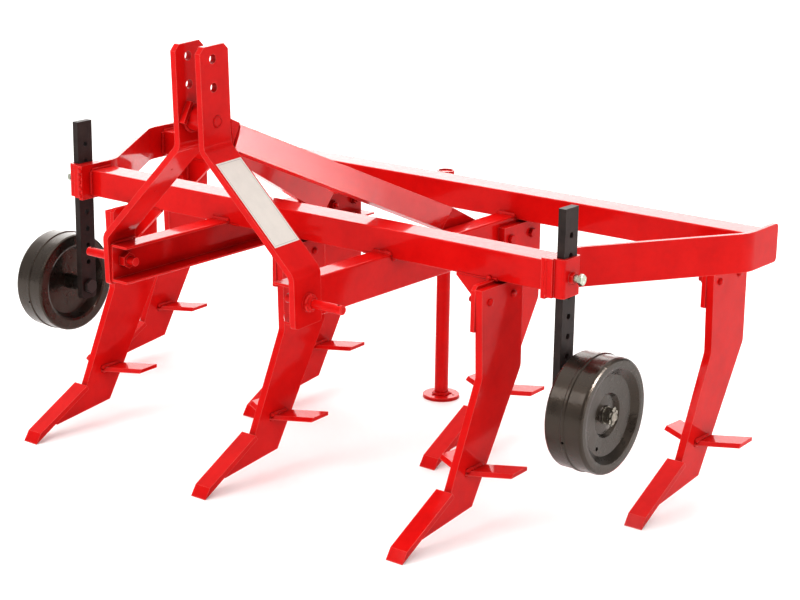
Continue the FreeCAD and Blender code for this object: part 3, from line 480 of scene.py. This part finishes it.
def hexagon(b, centre, axis, across, low, high, ref=None, chamfer_low=False, mat=0, hole=0.0, seg=8, crown=True):
    """A hexagon nut or head with its corners turned off by the usual 30 degree cone."""
    o, ax = Vector(centre), Vector(axis).normalized()
    u = Vector(ref) if ref else ax.orthogonal()
    u = (u - ax * u.dot(ax)).normalized()
    v = ax.cross(u)
    n = 6 * seg
    flat = across / 2.0
    rc = flat * 0.985

    def corner(i):
        ang = 2 * math.pi * i / n
        local = (ang % (math.pi / 3)) - math.pi / 6
        return ang, flat / math.cos(local)

    def ring(fn):
        out = []
        for i in range(n):
            ang, r = corner(i)
            rr, h = fn(r)
            out.append(w(*(o + (u * math.cos(ang) + v * math.sin(ang)) * rr + ax * h)))
        return out

    drop = math.tan(math.radians(30))
    rings = []
    if chamfer_low:
        rings.append(ring(lambda r: (rc, low)))
        rings.append(ring(lambda r: (r, low + max(0.0, r - rc) * drop)))
    else:
        rings.append(ring(lambda r: (r, low)))
    rings.append(ring(lambda r: (r, high - (max(0.0, r - rc) * drop if crown else 0.0))))
    if crown:
        rings.append(ring(lambda r: (rc, high)))
        rings.append(ring(lambda r: (rc * 0.93, high + 0.01)))
    verts = [p for r in rings for p in r]
    faces = []
    for k in range(len(rings) - 1):
        for i in range(n):
            j = (i + 1) % n
            faces.append([k * n + i, k * n + j, (k + 1) * n + j, (k + 1) * n + i])
    b.add(verts, faces, mat, False)
    b.add(rings[0], [list(range(n))[::-1]], mat, False)
    b.add(rings[-1], [list(range(n))], mat, False)


def bolt_head(b, centre, axis, across=30.0, height=13.0, washer=0.0, ref=None, mat=0, dome=0.0):
    """Washer and chamfered head standing on a face at centre."""
    z = 0.0
    if washer:
        t = 3.5
        lathe(b, centre, axis, [(washer / 2 - 0.8, -0.6), (washer / 2, 0.5), (washer / 2, t - 0.6), (washer / 2 - 0.7, t), (across * 0.3, t + 0.01)], 56, ref, mat, False)
        z = t
    if dome:
        r = across / 2
        prof = [(r, z - 0.5)] + [(r * math.cos(a) ** 0.6, z + dome * math.sin(a)) for a in [math.pi / 2 * i / 8 for i in range(8)]] + [(r * 0.05, z + dome)]
        lathe(b, centre, axis, prof, 40, ref, mat, True)
    else:
        hexagon(b, centre, axis, across, z - 0.3, z + height, ref, mat=mat)


def bolt_end(b, centre, axis, across=30.0, height=13.0, washer=0.0, thread=20.0, stick=6.0, ref=None, mat=0):
    """Washer, nut and the threaded end of the bolt standing on a face at centre."""
    z = 0.0
    if washer:
        t = 3.5
        lathe(b, centre, axis, [(washer / 2 - 0.8, -0.6), (washer / 2, 0.5), (washer / 2, t - 0.6), (washer / 2 - 0.7, t), (across * 0.3, t + 0.01)], 56, ref, mat, False)
        z = t
    hexagon(b, centre, axis, across, z - 0.3, z + height, ref, chamfer_low=True, mat=mat)
    prof = []
    r = thread / 2
    zz = z + height - 0.5
    top = z + height + stick
    while zz < top - 1.5:
        prof += [(r - 1.0, zz), (r, zz + 0.9), (r, zz + 1.2)]
        zz += 2.3
    prof += [(r - 1.0, top - 1.2), (r - 1.9, top)]
    lathe(b, centre, axis, prof, 28, ref, mat, True)


# --------------------------------------------------------------------- camera
def aim_camera():
    """The photograph's viewing angle and distance, with the small sideways lens shift of its framing."""
    az, el, roll, f_px, side, lift, far = 0.7048, 0.2790, 0.0006, 1998.03, 2.8546, -277.9953, 6299.2749
    back = Vector((math.sin(az) * math.cos(el), -math.cos(az) * math.cos(el), math.sin(el)))
    right = Vector((math.cos(az), math.sin(az), 0.0))
    up = back.cross(right)
    r2 = right * math.cos(roll) + up * math.sin(roll)
    u2 = up * math.cos(roll) - right * math.sin(roll)
    target = Vector((0.0, 0.0, 820.9))
    pos = target + back * far + right * side + up * lift
    data = bpy.data.cameras.new("camera")
    data.sensor_fit = "HORIZONTAL"
    data.sensor_width = 36.0
    data.lens = 36.0 * f_px / 800.0
    data.shift_x = 0.125
    data.clip_start, data.clip_end = 0.1, 400.0
    cam = bpy.data.objects.new("camera", data)
    m = Matrix((
        (r2.x, u2.x, back.x, pos.x * 0.001),
        (r2.y, u2.y, back.y, Y0 + pos.y * 0.001),
        (r2.z, u2.z, back.z, pos.z * 0.001),
        (0, 0, 0, 1)))
    cam.matrix_world = m
    scene.collection.objects.link(cam)
    scene.camera = cam


aim_camera()


# ---------------------------------------------------------------- light, floor
def studio():
    scene.view_settings.view_transform = "Standard"
    scene.view_settings.look = "None"
    scene.view_settings.gamma = 0.87
    world = bpy.data.worlds.new("studio")
    scene.world = world
    world.use_nodes = True
    nt = world.node_tree
    for n in list(nt.nodes):
        nt.nodes.remove(n)
    out = nt.nodes.new("ShaderNodeOutputWorld")
    bg = nt.nodes.new("ShaderNodeBackground")
    nt.links.new(bg.outputs[0], out.inputs["Surface"])
    d = nt.nodes.new("ShaderNodeTexCoord").outputs["Generated"]

    def lobe(direction, lo, hi, strength):
        v = Vector(direction).normalized()
        n = nt.nodes.new("ShaderNodeVectorMath")
        n.operation = "DOT_PRODUCT"
        nt.links.new(d, n.inputs[0])
        n.inputs[1].default_value = v
        return map_range(nt, n.outputs["Value"], lo, hi, 0.0, strength, True)

    total = lobe((-0.66, 0.70, 0.30), 0.70, 0.94, 3.2)       # bright white sweep behind the machine
    total = math_node(nt, "ADD", total, lobe((-0.45, -0.85, 0.35), 0.30, 0.95, 0.40))   # soft box, front left
    total = math_node(nt, "ADD", total, lobe((0.0, 0.0, 1.0), 0.50, 1.0, 1.60))         # ceiling
    total = math_node(nt, "ADD", total, 0.36)
    nt.links.new(total, bg.inputs["Strength"])
    bg.inputs["Color"].default_value = (1.0, 0.995, 0.985, 1.0)

    def area(name, loc, target, size, power, spread=180.0, glossy=True):
        l = bpy.data.lights.new(name, "AREA")
        l.shape = "DISK"
        l.size = size
        l.energy = power
        l.spread = math.radians(spread)
        o = bpy.data.objects.new(name, l)
        o.location = loc
        o.rotation_mode = "QUATERNION"
        o.rotation_quaternion = (Vector(target) - Vector(loc)).to_track_quat("-Z", "Y")
        o.visible_glossy = glossy
        scene.collection.objects.link(o)

    def soft_box(name, azimuth, dist, s0, s1, z0, z1, bright, dim_):
        """A small upright soft box right of the machine, which the braces' leaned faces mirror: brightest at
        its left edge and fading to the right."""
        a = math.radians(azimuth)
        out = Vector((math.cos(a), math.sin(a), 0.0))
        side = Vector((-math.sin(a), math.cos(a), 0.0))
        m = bpy.data.materials.new(name)
        m.use_nodes = True
        g = m.node_tree
        for x in list(g.nodes):
            g.nodes.remove(x)
        o_ = g.nodes.new("ShaderNodeOutputMaterial")
        e = g.nodes.new("ShaderNodeEmission")
        g.links.new(e.outputs[0], o_.inputs["Surface"])
        c_ = g.nodes.new("ShaderNodeTexCoord").outputs["Object"]
        xyz = g.nodes.new("ShaderNodeSeparateXYZ")
        g.links.new(c_, xyz.inputs[0])
        hs, hz = xyz.outputs[0], xyz.outputs[1]
        soft_s, soft_z = (s1 - s0) * 0.16, (z1 - z0) * 0.30
        amount = map_range(g, hs, s0 + soft_s, s0 + (s1 - s0) * 0.62, bright, dim_)
        for v, p, q in ((hs, s0, s0 + soft_s), (hs, s1, s1 - soft_s), (hz, z0, z0 + soft_z), (hz, z1, z1 - soft_z)):
            if p < q:
                edge = map_range(g, v, p, q, 0.0, 1.0, True)
            else:
                edge = map_range(g, v, q, p, 1.0, 0.0, True)
            amount = math_node(g, "MULTIPLY", amount, edge)
        g.links.new(amount, e.inputs["Strength"])
        me_ = bpy.data.meshes.new(name)
        me_.from_pydata([(s0, z0, 0), (s1, z0, 0), (s1, z1, 0), (s0, z1, 0)], [], [[0, 1, 2, 3]])
        me_.materials.append(m)
        ob = bpy.data.objects.new(name, me_)
        c0 = out * dist
        ob.matrix_world = Matrix(((side.x, 0, out.x, c0.x), (side.y, 0, out.y, c0.y), (0, 1, 0, 0), (0, 0, 0, 1)))
        scene.collection.objects.link(ob)
        ob.visible_camera = False
        ob.visible_diffuse = False

    area("key", (-2.2, -5.2, 4.6), (0, 0, 0.5), 2.6, 85)
    area("fill_right", (5.6, -1.6, 2.6), (0, 0, 0.6), 3.0, 40, glossy=False)
    soft_box("soft_box_right", 24.5, 6.0, -1.25, 0.75, 0.55, 2.40, 76.0, 13.0)

    m, nt, b = new_material("pale_floor")
    b.inputs["Base Color"].default_value = (0.90, 0.90, 0.90, 1.0)
    b.inputs["Roughness"].default_value = 0.75
    b.inputs["Specular IOR Level"].default_value = 0.2
    b.inputs["Emission Color"].default_value = (1.0, 1.0, 1.0, 1.0)
    b.inputs["Emission Strength"].default_value = 0.12
    me = bpy.data.meshes.new("floor")
    s = 60.0
    me.from_pydata([(-s, -s, -0.0004), (s, -s, -0.0004), (s, s, -0.0004), (-s, s, -0.0004)], [], [[0, 1, 2, 3]])
    me.materials.append(m)
    o = bpy.data.objects.new("floor", me)
    scene.collection.objects.link(o)

    # white walls and ceiling far off, seen by the camera only, so that low views have no dark sky
    m = bpy.data.materials.new("white_backdrop")
    m.use_nodes = True
    g = m.node_tree
    for x in list(g.nodes):
        g.nodes.remove(x)
    e = g.nodes.new("ShaderNodeEmission")
    e.inputs["Strength"].default_value = 1.3
    g.links.new(e.outputs[0], g.nodes.new("ShaderNodeOutputMaterial").inputs["Surface"])
    me = bpy.data.meshes.new("backdrop")
    r, hi = 50.0, 60.0
    me.from_pydata([(-r, -r, -1), (r, -r, -1), (r, r, -1), (-r, r, -1), (-r, -r, hi), (r, -r, hi), (r, r, hi), (-r, r, hi)], [],
                   [[0, 1, 5, 4], [1, 2, 6, 5], [2, 3, 7, 6], [3, 0, 4, 7], [4, 5, 6, 7]])
    me.materials.append(m)
    o = bpy.data.objects.new("backdrop", me)
    scene.collection.objects.link(o)
    o.visible_diffuse = False
    o.visible_glossy = False
    o.visible_shadow = False
    o.visible_transmission = False


studio()

# --------------------------------------------------------- sizes from the frame
FBL, FBH = mm("front_beam")
RBL, RBH = mm("rear_beam")
RRL, RRH = mm("long_rail_right")
SPL, SPH = mm("side_plate_right")
CLL, CLH = mm("wheel_clamp_right")
MLL, MLH = mm("mast_leg_right")
BOL, BOH = mm("mast_spacer")
SLL, SLH = mm("stand_sleeve")
FTL, FTH = mm("stand_foot")
TBL, TBH = mm("stand_tube")
AXL, AXH = mm("wheel_axle_right")
ARL, ARH = mm("wheel_arm_right")
GWL, GWH = mm("gauge_wheel_right")
PNL, PNH = mm("lower_pin_right")
X, Y, Z = Vector((1, 0, 0)), Vector((0, 1, 0)), Vector((0, 0, 1))
SIDES = ((1, "right"), (-1, "left"))

# ------------------------------------------------------------- welds, front half
b = Builder()
for s, word in SIDES:
    rin, rout = RRL[0] * s, RRH[0] * s
    ztop, zbeam = RRH[2], FBL[2]
    # long rail to front beam: front and back across the rail's top, and under the beam at both sides
    fillet(b, (rin - 3 * s, FBL[1], ztop - 2), (rout + 3 * s, FBL[1], ztop - 2), -Y, Z, 9.5, 1.3 * s)
    fillet(b, (rin - 3 * s, FBH[1], ztop - 2), (rout + 3 * s, FBH[1], ztop - 2), Y, Z, 9.0, 2.1 * s)
    fillet(b, (rout, FBL[1] + 1, zbeam), (rout, FBH[1] - 1, zbeam), X * s, -Z, 9.0, 3.7 * s)
    fillet(b, (rout - 8 * s, FBL[1] + 1, zbeam), (rout - 8 * s, FBH[1] - 1, zbeam), X * -s, -Z, 8.0, 4.2 * s)
    # a short run of spare weld along the beam's lower edge, inboard of the rail
    ridge(b, (rin - 3 * s, FBL[1] + 1.5, zbeam + 3), (rin - 44 * s, FBL[1] + 1.5, zbeam + 2), (-Y - Z), 11, 4.0, 5.0 * s)
    # side plate to the end of the front beam
    xe = FBH[0] * s
    fillet(b, (xe, FBL[1], FBL[2] + 2), (xe, FBL[1], FBH[2] - 2), -Y, X * -s, 8.0, 6.1 * s)
    fillet(b, (xe, FBH[1], FBL[2] + 2), (xe, FBH[1], FBH[2] - 2), Y, X * -s, 8.0, 6.6 * s)
    fillet(b, (xe, FBL[1] + 2, FBH[2]), (xe, FBH[1] - 2, FBH[2]), Z, X * -s, 7.0, 7.2 * s)
    fillet(b, (xe, FBL[1] + 2, FBL[2]), (xe, FBH[1] - 2, FBL[2]), -Z, X * -s, 7.5, 7.9 * s)
    # clamp to the side plate, front and back
    xc = CLL[0] * s
    fillet(b, (xc, CLH[1], CLL[2] + 6), (xc, CLH[1], CLH[2] - 6), Y, X * s, 8.0, 9.1 * s)
    ridge(b, (xc, CLL[1] + 0.5, CLL[2] + 7), (xc, CLL[1] + 0.5, CLH[2] - 7), -Y, 12.0, 3.4, 8.3 * s)
    if s < 0:
        # five heavy lumps of weld down the left clamp's front edge, where it meets the side plate
        for k in range(5):
            blob(b, (xc + 7.0 + 1.2 * math.sin(k * 2.1), SPL[1] + 0.5, CLL[2] + 12 + k * 21.5 + 3 * math.sin(k * 1.3 + s)),
                 (-0.10, -1, 0), 7.2 + 1.0 * math.sin(k * 1.9), 6.0, k * 2.3 + s)
b.make("welds_front_beam", [RED_WELD], "frame")

# brackets and gussets: one list for both rows, read from the shanks' own boxes
b = Builder()
bolts = Builder()
TINES = (("front_shank_left", 1, 1), ("front_shank_centre", -1, -1), ("front_shank_right", -1, -1),
         ("rear_shank_outer_left", 1, 1), ("rear_shank_inner_left", 1, 0), ("rear_shank_inner_right", -1, 0),
         ("rear_shank_outer_right", -1, -1))
for name, side, gusset in TINES:
    lo, hi = mm(name)
    row = 0.0 if name.startswith("front") else RBL[1]
    beam = (FBL, FBH) if row == 0.0 else (RBL, RBH)
    seed = lo[0] * 0.01 + row
    face = hi[0] if side > 0 else lo[0]              # shank face that the bracket stands against
    other = lo[0] if side > 0 else hi[0]
    if gusset:
        outer = face + 15 * side                      # the bracket's free face
        zb = beam[0][2]
        fillet(b, (outer, beam[0][1] + 16, zb), (outer, beam[1][1] - 1, zb), X * side, -Z, 8.5, seed + 0.3)
        fillet(b, (face, beam[0][1] + 1, zb), (face, beam[1][1] - 1, zb), X * -side, -Z, 6.0, seed + 0.9)
        # corner lump where the bracket's top meets the beam's front edge
        ridge(b, (outer + 3 * side, beam[0][1] + 1, zb + 2), (face - 11 * side, beam[0][1] + 1, zb + 2), (-Y * 1.0 - Z * 0.5), 15, 6.0, seed + 1.4)
        ridge(b, (outer + 3 * side, beam[1][1] - 1, zb + 2), (face - 5 * side, beam[1][1] - 1, zb + 2), (Y - Z * 0.5), 13, 5.0, seed + 1.9)
        blob(b, (outer + 4 * side, beam[0][1] - 0.5, zb + 1), (-side * -0.2, -1, -0.35), 11.5, 8.5, seed + 2.7)
        blob(b, (outer - 5 * side, beam[0][1] + 2.5, zb - 3), (0.0, -0.8, -0.9), 8.0, 6.0, seed + 3.9)
        # gusset to bracket and to beam
        g0, g1 = row + 2, row + 14
        for yy, ny in ((g0, -Y), (g1, Y)):
            fillet(b, (outer, yy, 624), (outer, yy, zb - 3), X * side, ny, 7.0, seed + yy)
            if yy == g1:
                fillet(b, (outer + 4 * side, yy, zb), (outer + 122 * side, yy, zb), -Z, ny, 7.0, seed + yy + 3)
        ridge(b, (outer + 6 * side, row + 0.8, zb + 0.5), (outer + 122 * side, row + 0.8, zb + 0.5), (-Y - Z), 9, 3.2, seed + 4.4)
        low_by = 0.0 if row == 0.0 else 8.0
        for rel, zz in ((-58.0, 681.0 - low_by), (60.0, 684.0 - low_by)):
            bolt_end(bolts, (outer, row + rel, zz), X * side, 27.0, 15.0, 36.0, 18.0, 11.0, ref=(0, 0.35, 1))
            bolt_head(bolts, (other, row + rel + 1.5, zz), X * -side, 22.5, 8.0, 0.0, dome=9.5)
    else:
        # the inner rear tines are bolted through the long rails' outer walls
        wall = RRH[0] - 8.0
        sx = 1 if lo[0] > 0 else -1
        for rel in (-60.0, 58.0):
            bolt_end(bolts, (wall * sx, row + rel, 681.0), X * -sx, 27.0, 12.0, 36.0, 18.0, 6.0, ref=(0, 0.2, 1))
            bolt_head(bolts, ((RRH[0] + 25) * sx, row + rel, 681.0), X * sx, 27.0, 11.0, 0.0, ref=(0, 0.6, 1))
    # points welded along both cheeks of the shank, and across its front edge at the top
    for cheek, nx in ((lo[0], -1), (hi[0], 1)):
        nb = Vector((0, 0.465, -0.885))
        fillet(b, (cheek, row - 387, 48), (cheek, row - 250, 123), X * nx, nb, 7.0, seed + 5.5 + nx)
    fillet(b, (lo[0] + 1, row - 233.5, 133), (hi[0] - 1, row - 233.5, 133), Vector((0, -0.908, 0.418)), Vector((0, 0.88, 0.47)), 8.0, seed + 6.6)
    # wings, top and bottom of the root
    for cheek, nx in ((lo[0], -1), (hi[0], 1)):
        wy0, wy1 = row - 158.0, row - 75.0
        fillet(b, (cheek, wy0, 185), (cheek, wy1, 185), X * nx, Z, 8.5, seed + 7.1 + nx)
        for k in range(3):
            blob(b, (cheek + nx * 3.0, wy0 + 8 + k * 15.0 + 3 * math.sin(seed + k), 187), (nx * 0.7, 0, 0.7), 7.5, 5.0, seed + k * 1.7 + nx)
        fillet(b, (cheek, wy0, 173), (cheek, wy1 - 2, 173), X * nx, -Z, 7.0, seed + 8.3 + nx)
b.make("welds_tines", [RED_WELD], "frame")
bolts.make("tine_bolts", [RED_WELD], "frame")

# -------------------------------------------------------------- welds, rear half
b = Builder()
for s, word in SIDES:
    rin, rout = RRL[0] * s, RRH[0] * s
    ztop, zbeam = RRH[2], RBL[2]
    fillet(b, (rin, RBL[1], ztop - 2), (rout, RBL[1], ztop - 2), -Y, Z, 9.0, 11.3 * s)
    fillet(b, (rout, RBL[1] + 1, zbeam), (rout, RBH[1] - 1, zbeam), X * s, -Z, 8.5, 12.4 * s)
    fillet(b, (rout - 8 * s, RBL[1] + 1, zbeam), (rout - 8 * s, RBH[1] - 1, zbeam), X * -s, -Z, 7.5, 13.2 * s)
    xe = RBH[0] * s
    fillet(b, (xe, RBL[1], RBL[2] + 2), (xe, RBL[1], RBH[2] - 2), -Y, X * -s, 8.0, 14.1 * s)
    fillet(b, (xe, RBL[1] + 2, RBH[2]), (xe, RBH[1] - 1, RBH[2]), Z, X * -s, 7.0, 15.2 * s)
    fillet(b, (xe, RBL[1] + 2, RBL[2]), (xe, RBH[1] - 1, RBL[2]), -Z, X * -s, 7.5, 15.9 * s)
# stand sleeve to the rear beam
cx, cy = (SLL[0] + SLH[0]) / 2, (SLL[1] + SLH[1]) / 2
rs = (SLH[0] - SLL[0]) / 2
for s in (1, -1):
    xx = cx + s * 12.0
    ridge(b, (xx, RBH[1] + 1.6, RBL[2] + 1), (xx, RBH[1] + 1.6, RBH[2] - 1), Vector((s, 1, 0)), 12, 4.0, 20.0 + s)
b.make("welds_rear_beam", [RED_WELD], "frame")

# ------------------------------------------------------------------- mast welds
b = Builder()
boss_y, boss_z = (BOL[1] + BOH[1]) / 2, (BOL[2] + BOH[2]) / 2
boss_r = (BOH[2] - BOL[2]) / 2
gap = BOH[0]
P_y, P_z = (PNL[1] + PNH[1]) / 2, (PNL[2] + PNH[2]) / 2
for s, word in SIDES:
    ring_bead(b, (gap * s, boss_y, boss_z), X * -s, boss_r, 7.0, 21.0 + s, ref=(0, 0, 1))
    # the spacer pin's end, welded to the plate's outside
    ring_bead(b, ((gap + 20) * s, boss_y, boss_z), X * s, 14.2, 4.6, 22.0 + s, step=1.8, ref=(0, 0, 1))
    # hitch plate on the long rail: back edge, foot and top
    lean = math.tan(math.radians(2.6))

    def back_edge(z):
        return MLL[1] + 0 * z

    px = RRH[0] * s
    yb = P_y + 60.0
    fillet(b, (px, yb + (688 - 632) * lean, 632), (px, yb - (742 - 688) * lean, 742), X * s, Y, 8.0, 23.0 + s)
    fillet(b, (px, RRL[1] + 4, RRL[2]), (px, yb, RRL[2]), -Z, X * -s, 7.0, 24.0 + s)
    fillet(b, (px, RRL[1] + 4, RRH[2]), (px, yb - 6, RRH[2]), Z, X * -s, 7.5, 25.0 + s)
    # pin collar on the hitch plate, and the pin in its collar
    ring_bead(b, ((RRH[0] + 20) * s, P_y, P_z), X * s, (PNH[2] - PNL[2]) / 2 - 1.0, 3.2, 26.0 + s, step=2.2, ref=(0, 0, 1))
    ring_bead(b, ((RRH[0] + 34) * s, P_y, P_z), X * s, 14.0, 8.0, 27.0 + s, step=1.8, ref=(0, 0, 1))
    for k in range(7):
        a = 0.4 + k * 0.9
        rr = 20.5 + 1.6 * math.sin(k * 2.7)
        blob(b, ((RRH[0] + 33.5) * s, P_y + rr * math.cos(a), P_z + rr * math.sin(a)), X * s + (Y * math.cos(a) + Z * math.sin(a)) * 0.5, 6.0, 4.2, k * 1.3 + s)
    # brace lug on the back edge of the mast plate, both faces
    LL, LH = mm("brace_lug_" + word)
    for xx, nx in ((LL[0], -1), (LH[0], 1)):
        ridge(b, (xx + 0.4 * nx, LL[1] + 3.0, LH[2] - 3), (xx + 0.4 * nx, LL[1] + 8.5, LL[2] + 8), X * nx, 9, 3.0, 28.0 + nx)
    # brace to the lug
    BL, BH = mm("brace_" + word)
    near_a, near_b = Vector(((gap + 20) * s, -340, 1159)), Vector((RRL[0] * s, 409, 807))
    u = (near_b - near_a).normalized()
    hd = math.atan2(abs(near_b.x - near_a.x), near_b.y - near_a.y)
    out = Vector((s * math.cos(hd), -math.sin(hd), 0))
    up = Vector((s * math.sin(hd) * 0.41, math.cos(hd) * 0.41, 0.91)).normalized()
    up = (up - u * up.dot(u)).normalized()
    lean_ = math.radians(12.0)
    out, up = out * math.cos(lean_) + up * math.sin(lean_), up * math.cos(lean_) - out * math.sin(lean_)
    c0 = near_a + u * 1.5
    lug_x = (gap + 20) * s
    ridge(b, c0 - out * 1.0 - up * 3, c0 - out * 1.0 - up * 72, out * 0.6 - u * 0.8, 9, 2.6, 29.0 + s)
for y_, z_, r_ in ((-445.0, 1013.7, 4.6), (-435.0, 932.9, 4.2)):
    x_ = -(gap + (1097.0 - z_) * ((RRH[0] - gap) / 327.0))
    blob(b, (x_ - 0.6, y_, z_), (0.703, 0, -0.711), r_, 2.6, z_ * 0.01)
b.make("welds_mast", [RED_WELD], "frame")

# ------------------------------------------------- stand: foot ring and spatter
b = Builder()
fx, fy = (FTL[0] + FTH[0]) / 2, (FTL[1] + FTH[1]) / 2
rt = (TBH[0] - TBL[0]) / 2
ring_bead(b, (fx, fy, FTH[2]), Z, rt, 8.5, 31.0, ref=(1, 0, 0))
for i in range(5):
    a = 0.6 + i * 1.27
    r = rt + 10 + 3.0 * math.sin(i * 2.3)
    c = Vector((fx + r * math.cos(a), fy + r * math.sin(a), FTH[2] - 0.5))
    prof = [(5.2, 0.0), (4.6, 1.8), (3.1, 3.2), (1.2, 3.9), (0.2, 4.0)]
    lathe(b, c, Z, prof, 16, mat=0, shape=lambda t, i=i: 1.0 + 0.16 * math.sin(3 * t + i))
b.make("welds_stand_foot", [RED_WELD], "stand")

# --------------------------------------------------------------- zinc clamp screws
for s, word in SIDES:
    b = Builder()
    CL, CH = mm("clamp_screw_" + word)
    cy, cz = (CL[1] + CH[1]) / 2, (CL[2] + CH[2]) / 2
    tip = CH[0] if s > 0 else CL[0]
    root = CL[0] if s > 0 else CH[0]
    h0 = abs(tip) - 13.0
    hexagon(b, (h0 * s, cy, cz), X * s, 30.0, 0.0, 13.0, ref=(0, 0.25, 1))
    lathe(b, (h0 * s, cy, cz), X * s, [(13.2, 12.2), (13.2, 13.0), (12.2, 13.0), (0.2, 12.7)], 40, smooth=False)
    prof, xx = [], abs(root)
    while xx < h0 - 1.0:
        prof += [(8.9, xx - h0), (9.9, xx - h0 + 0.9), (9.9, xx - h0 + 1.2)]
        xx += 2.3
    prof.append((9.0, -0.2))
    prof.append((9.0, 1.0))
    lathe(b, (h0 * s, cy, cz), X * s, prof, 30)
    o = b.make("zinc_screw_" + word, [ZINC], "frame")
    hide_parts("clamp_screw_" + word)

# --------------------------------------------------------- blank label on the leg
def leg_label():
    """A bare white label with a thin grey line round it, stuck on the right leg's slanted face."""
    gap_out, reach = gap + 20, RRH[0] + 20
    rise = 1097.0 - 770.0
    run = RRH[0] - gap
    tilt = math.atan2(run, rise)
    k = math.tan(tilt / 2) * 20.0
    # the outer face's upper and lower corner lines, in the mast's own leaned axes
    top = Vector((gap_out, 0, 1097.0 + k - P_z))
    low = Vector((reach, 0, 770.0 + k - P_z))
    lean = math.radians(2.6)

    def place(v):
        y = v.y * math.cos(lean) - v.z * math.sin(lean)
        z = v.y * math.sin(lean) + v.z * math.cos(lean)
        return Vector((v.x, P_y + y, P_z + z))

    down = (low - top).normalized()
    n = Vector((-down.z, 0, down.x))
    if n.x < 0:
        n = -n
    start, length, left, right = 52.3, 309.0, -52.0, 55.7
    b = Builder()

    def sheet_point(a, c, h):
        wave = 0.05 * noise.noise(Vector((a * 0.03, c * 0.03, 1.7)))
        return w(*place(top + down * (start + a) + Vector((0, c, 0)) + n * (h + wave)))

    def slab(a0, a1, c0, c1, low_h, high_h, mat, na, nc):
        """A closed thin slab between two heights over the plate."""
        verts, faces = [], []
        for h in (high_h, low_h):
            for i in range(na + 1):
                for j in range(nc + 1):
                    verts.append(sheet_point(a0 + (a1 - a0) * i / na, c0 + (c1 - c0) * j / nc, h))
        layer = (na + 1) * (nc + 1)

        def at(i, j, k):
            return k * layer + i * (nc + 1) + j

        for i in range(na):
            for j in range(nc):
                faces.append([at(i, j, 0), at(i + 1, j, 0), at(i + 1, j + 1, 0), at(i, j + 1, 0)])
                faces.append([at(i, j, 1), at(i, j + 1, 1), at(i + 1, j + 1, 1), at(i + 1, j, 1)])
        for i in range(na):
            faces.append([at(i, 0, 0), at(i, 0, 1), at(i + 1, 0, 1), at(i + 1, 0, 0)])
            faces.append([at(i, nc, 0), at(i + 1, nc, 0), at(i + 1, nc, 1), at(i, nc, 1)])
        for j in range(nc):
            faces.append([at(0, j, 0), at(0, j + 1, 0), at(0, j + 1, 1), at(0, j, 1)])
            faces.append([at(na, j, 0), at(na, j, 1), at(na, j + 1, 1), at(na, j + 1, 0)])
        b.add(verts, faces, mat, False)

    slab(0, length, left, right, -0.10, 0.30, 0, 44, 14)
    # the plain line round it, a hair above the sheet
    for a0, a1, c0, c1 in ((5, length - 5, left + 5, left + 6.2), (5, length - 5, right - 6.2, right - 5),
                           (5, 6.2, left + 6.2, right - 6.2), (length - 6.2, length - 5, left + 6.2, right - 6.2)):
        slab(a0, a1, c0, c1, 0.25, 0.40, 1, 30 if a1 - a0 > 50 else 1, 1 if a1 - a0 > 50 else 12)
    b.make("blank_label", [LABEL, LABEL_EDGE], "frame")


leg_label()

# ----------------------------------------------------------- wheels: small parts
for s, word in SIDES:
    b = Builder()
    AL, AH = mm("wheel_axle_" + word)
    ay, az_ = (AL[1] + AH[1]) / 2, (AL[2] + AH[2]) / 2
    out = abs(AH[0]) if s > 0 else abs(AL[0])
    # cotter pin through the castle nut: head loop one side, two bent legs the other
    cx_ = (out - 7.5) * s
    def rod(points, r=1.9, seg=10):
        rings = []
        for i, p in enumerate(points):
            p = Vector(p)
            a = Vector(points[max(0, i - 1)])
            c = Vector(points[min(len(points) - 1, i + 1)])
            t = (c - a).normalized()
            q = t.orthogonal().normalized()
            r2 = t.cross(q)
            rings.append([w(*(p + (q * math.cos(2 * math.pi * j / seg) + r2 * math.sin(2 * math.pi * j / seg)) * r)) for j in range(seg)])
        tube_of_sections(b, rings, False)
    up_ = Vector((0, 0.5, 0.866))
    side_ = Vector((0, 0.866, -0.5))
    c = Vector((cx_, ay, az_))
    loop = []
    for i in range(13):
        t = math.pi * (-0.35 + 1.7 * i / 12)
        loop.append(c + up_ * (23.0 + 4.6 * math.sin(t)) + side_ * 4.0 * math.cos(t))
    rod(loop)
    for k in (-1, 1):
        rod([c - up_ * 15 + side_ * 1.4 * k, c - up_ * 20 + side_ * 2.0 * k, c - up_ * 23.5 + side_ * 5.5 * k + X * s * 1.2, c - up_ * 25.5 + side_ * 11.0 * k + X * s * 1.6])
    b.make("cotter_pin_" + word, [BRIGHT], "wheel_arm_" + word)

    # weld of the axle to the arm
    b = Builder()
    arm_out = abs(ARH[0])
    ring_bead(b, (arm_out * s, ay, az_), X * s, 21.8, 6.0, 41.0 + s, ref=(0, 0, 1))
    b.make("weld_axle_" + word, [BLACK], "wheel_arm_" + word)
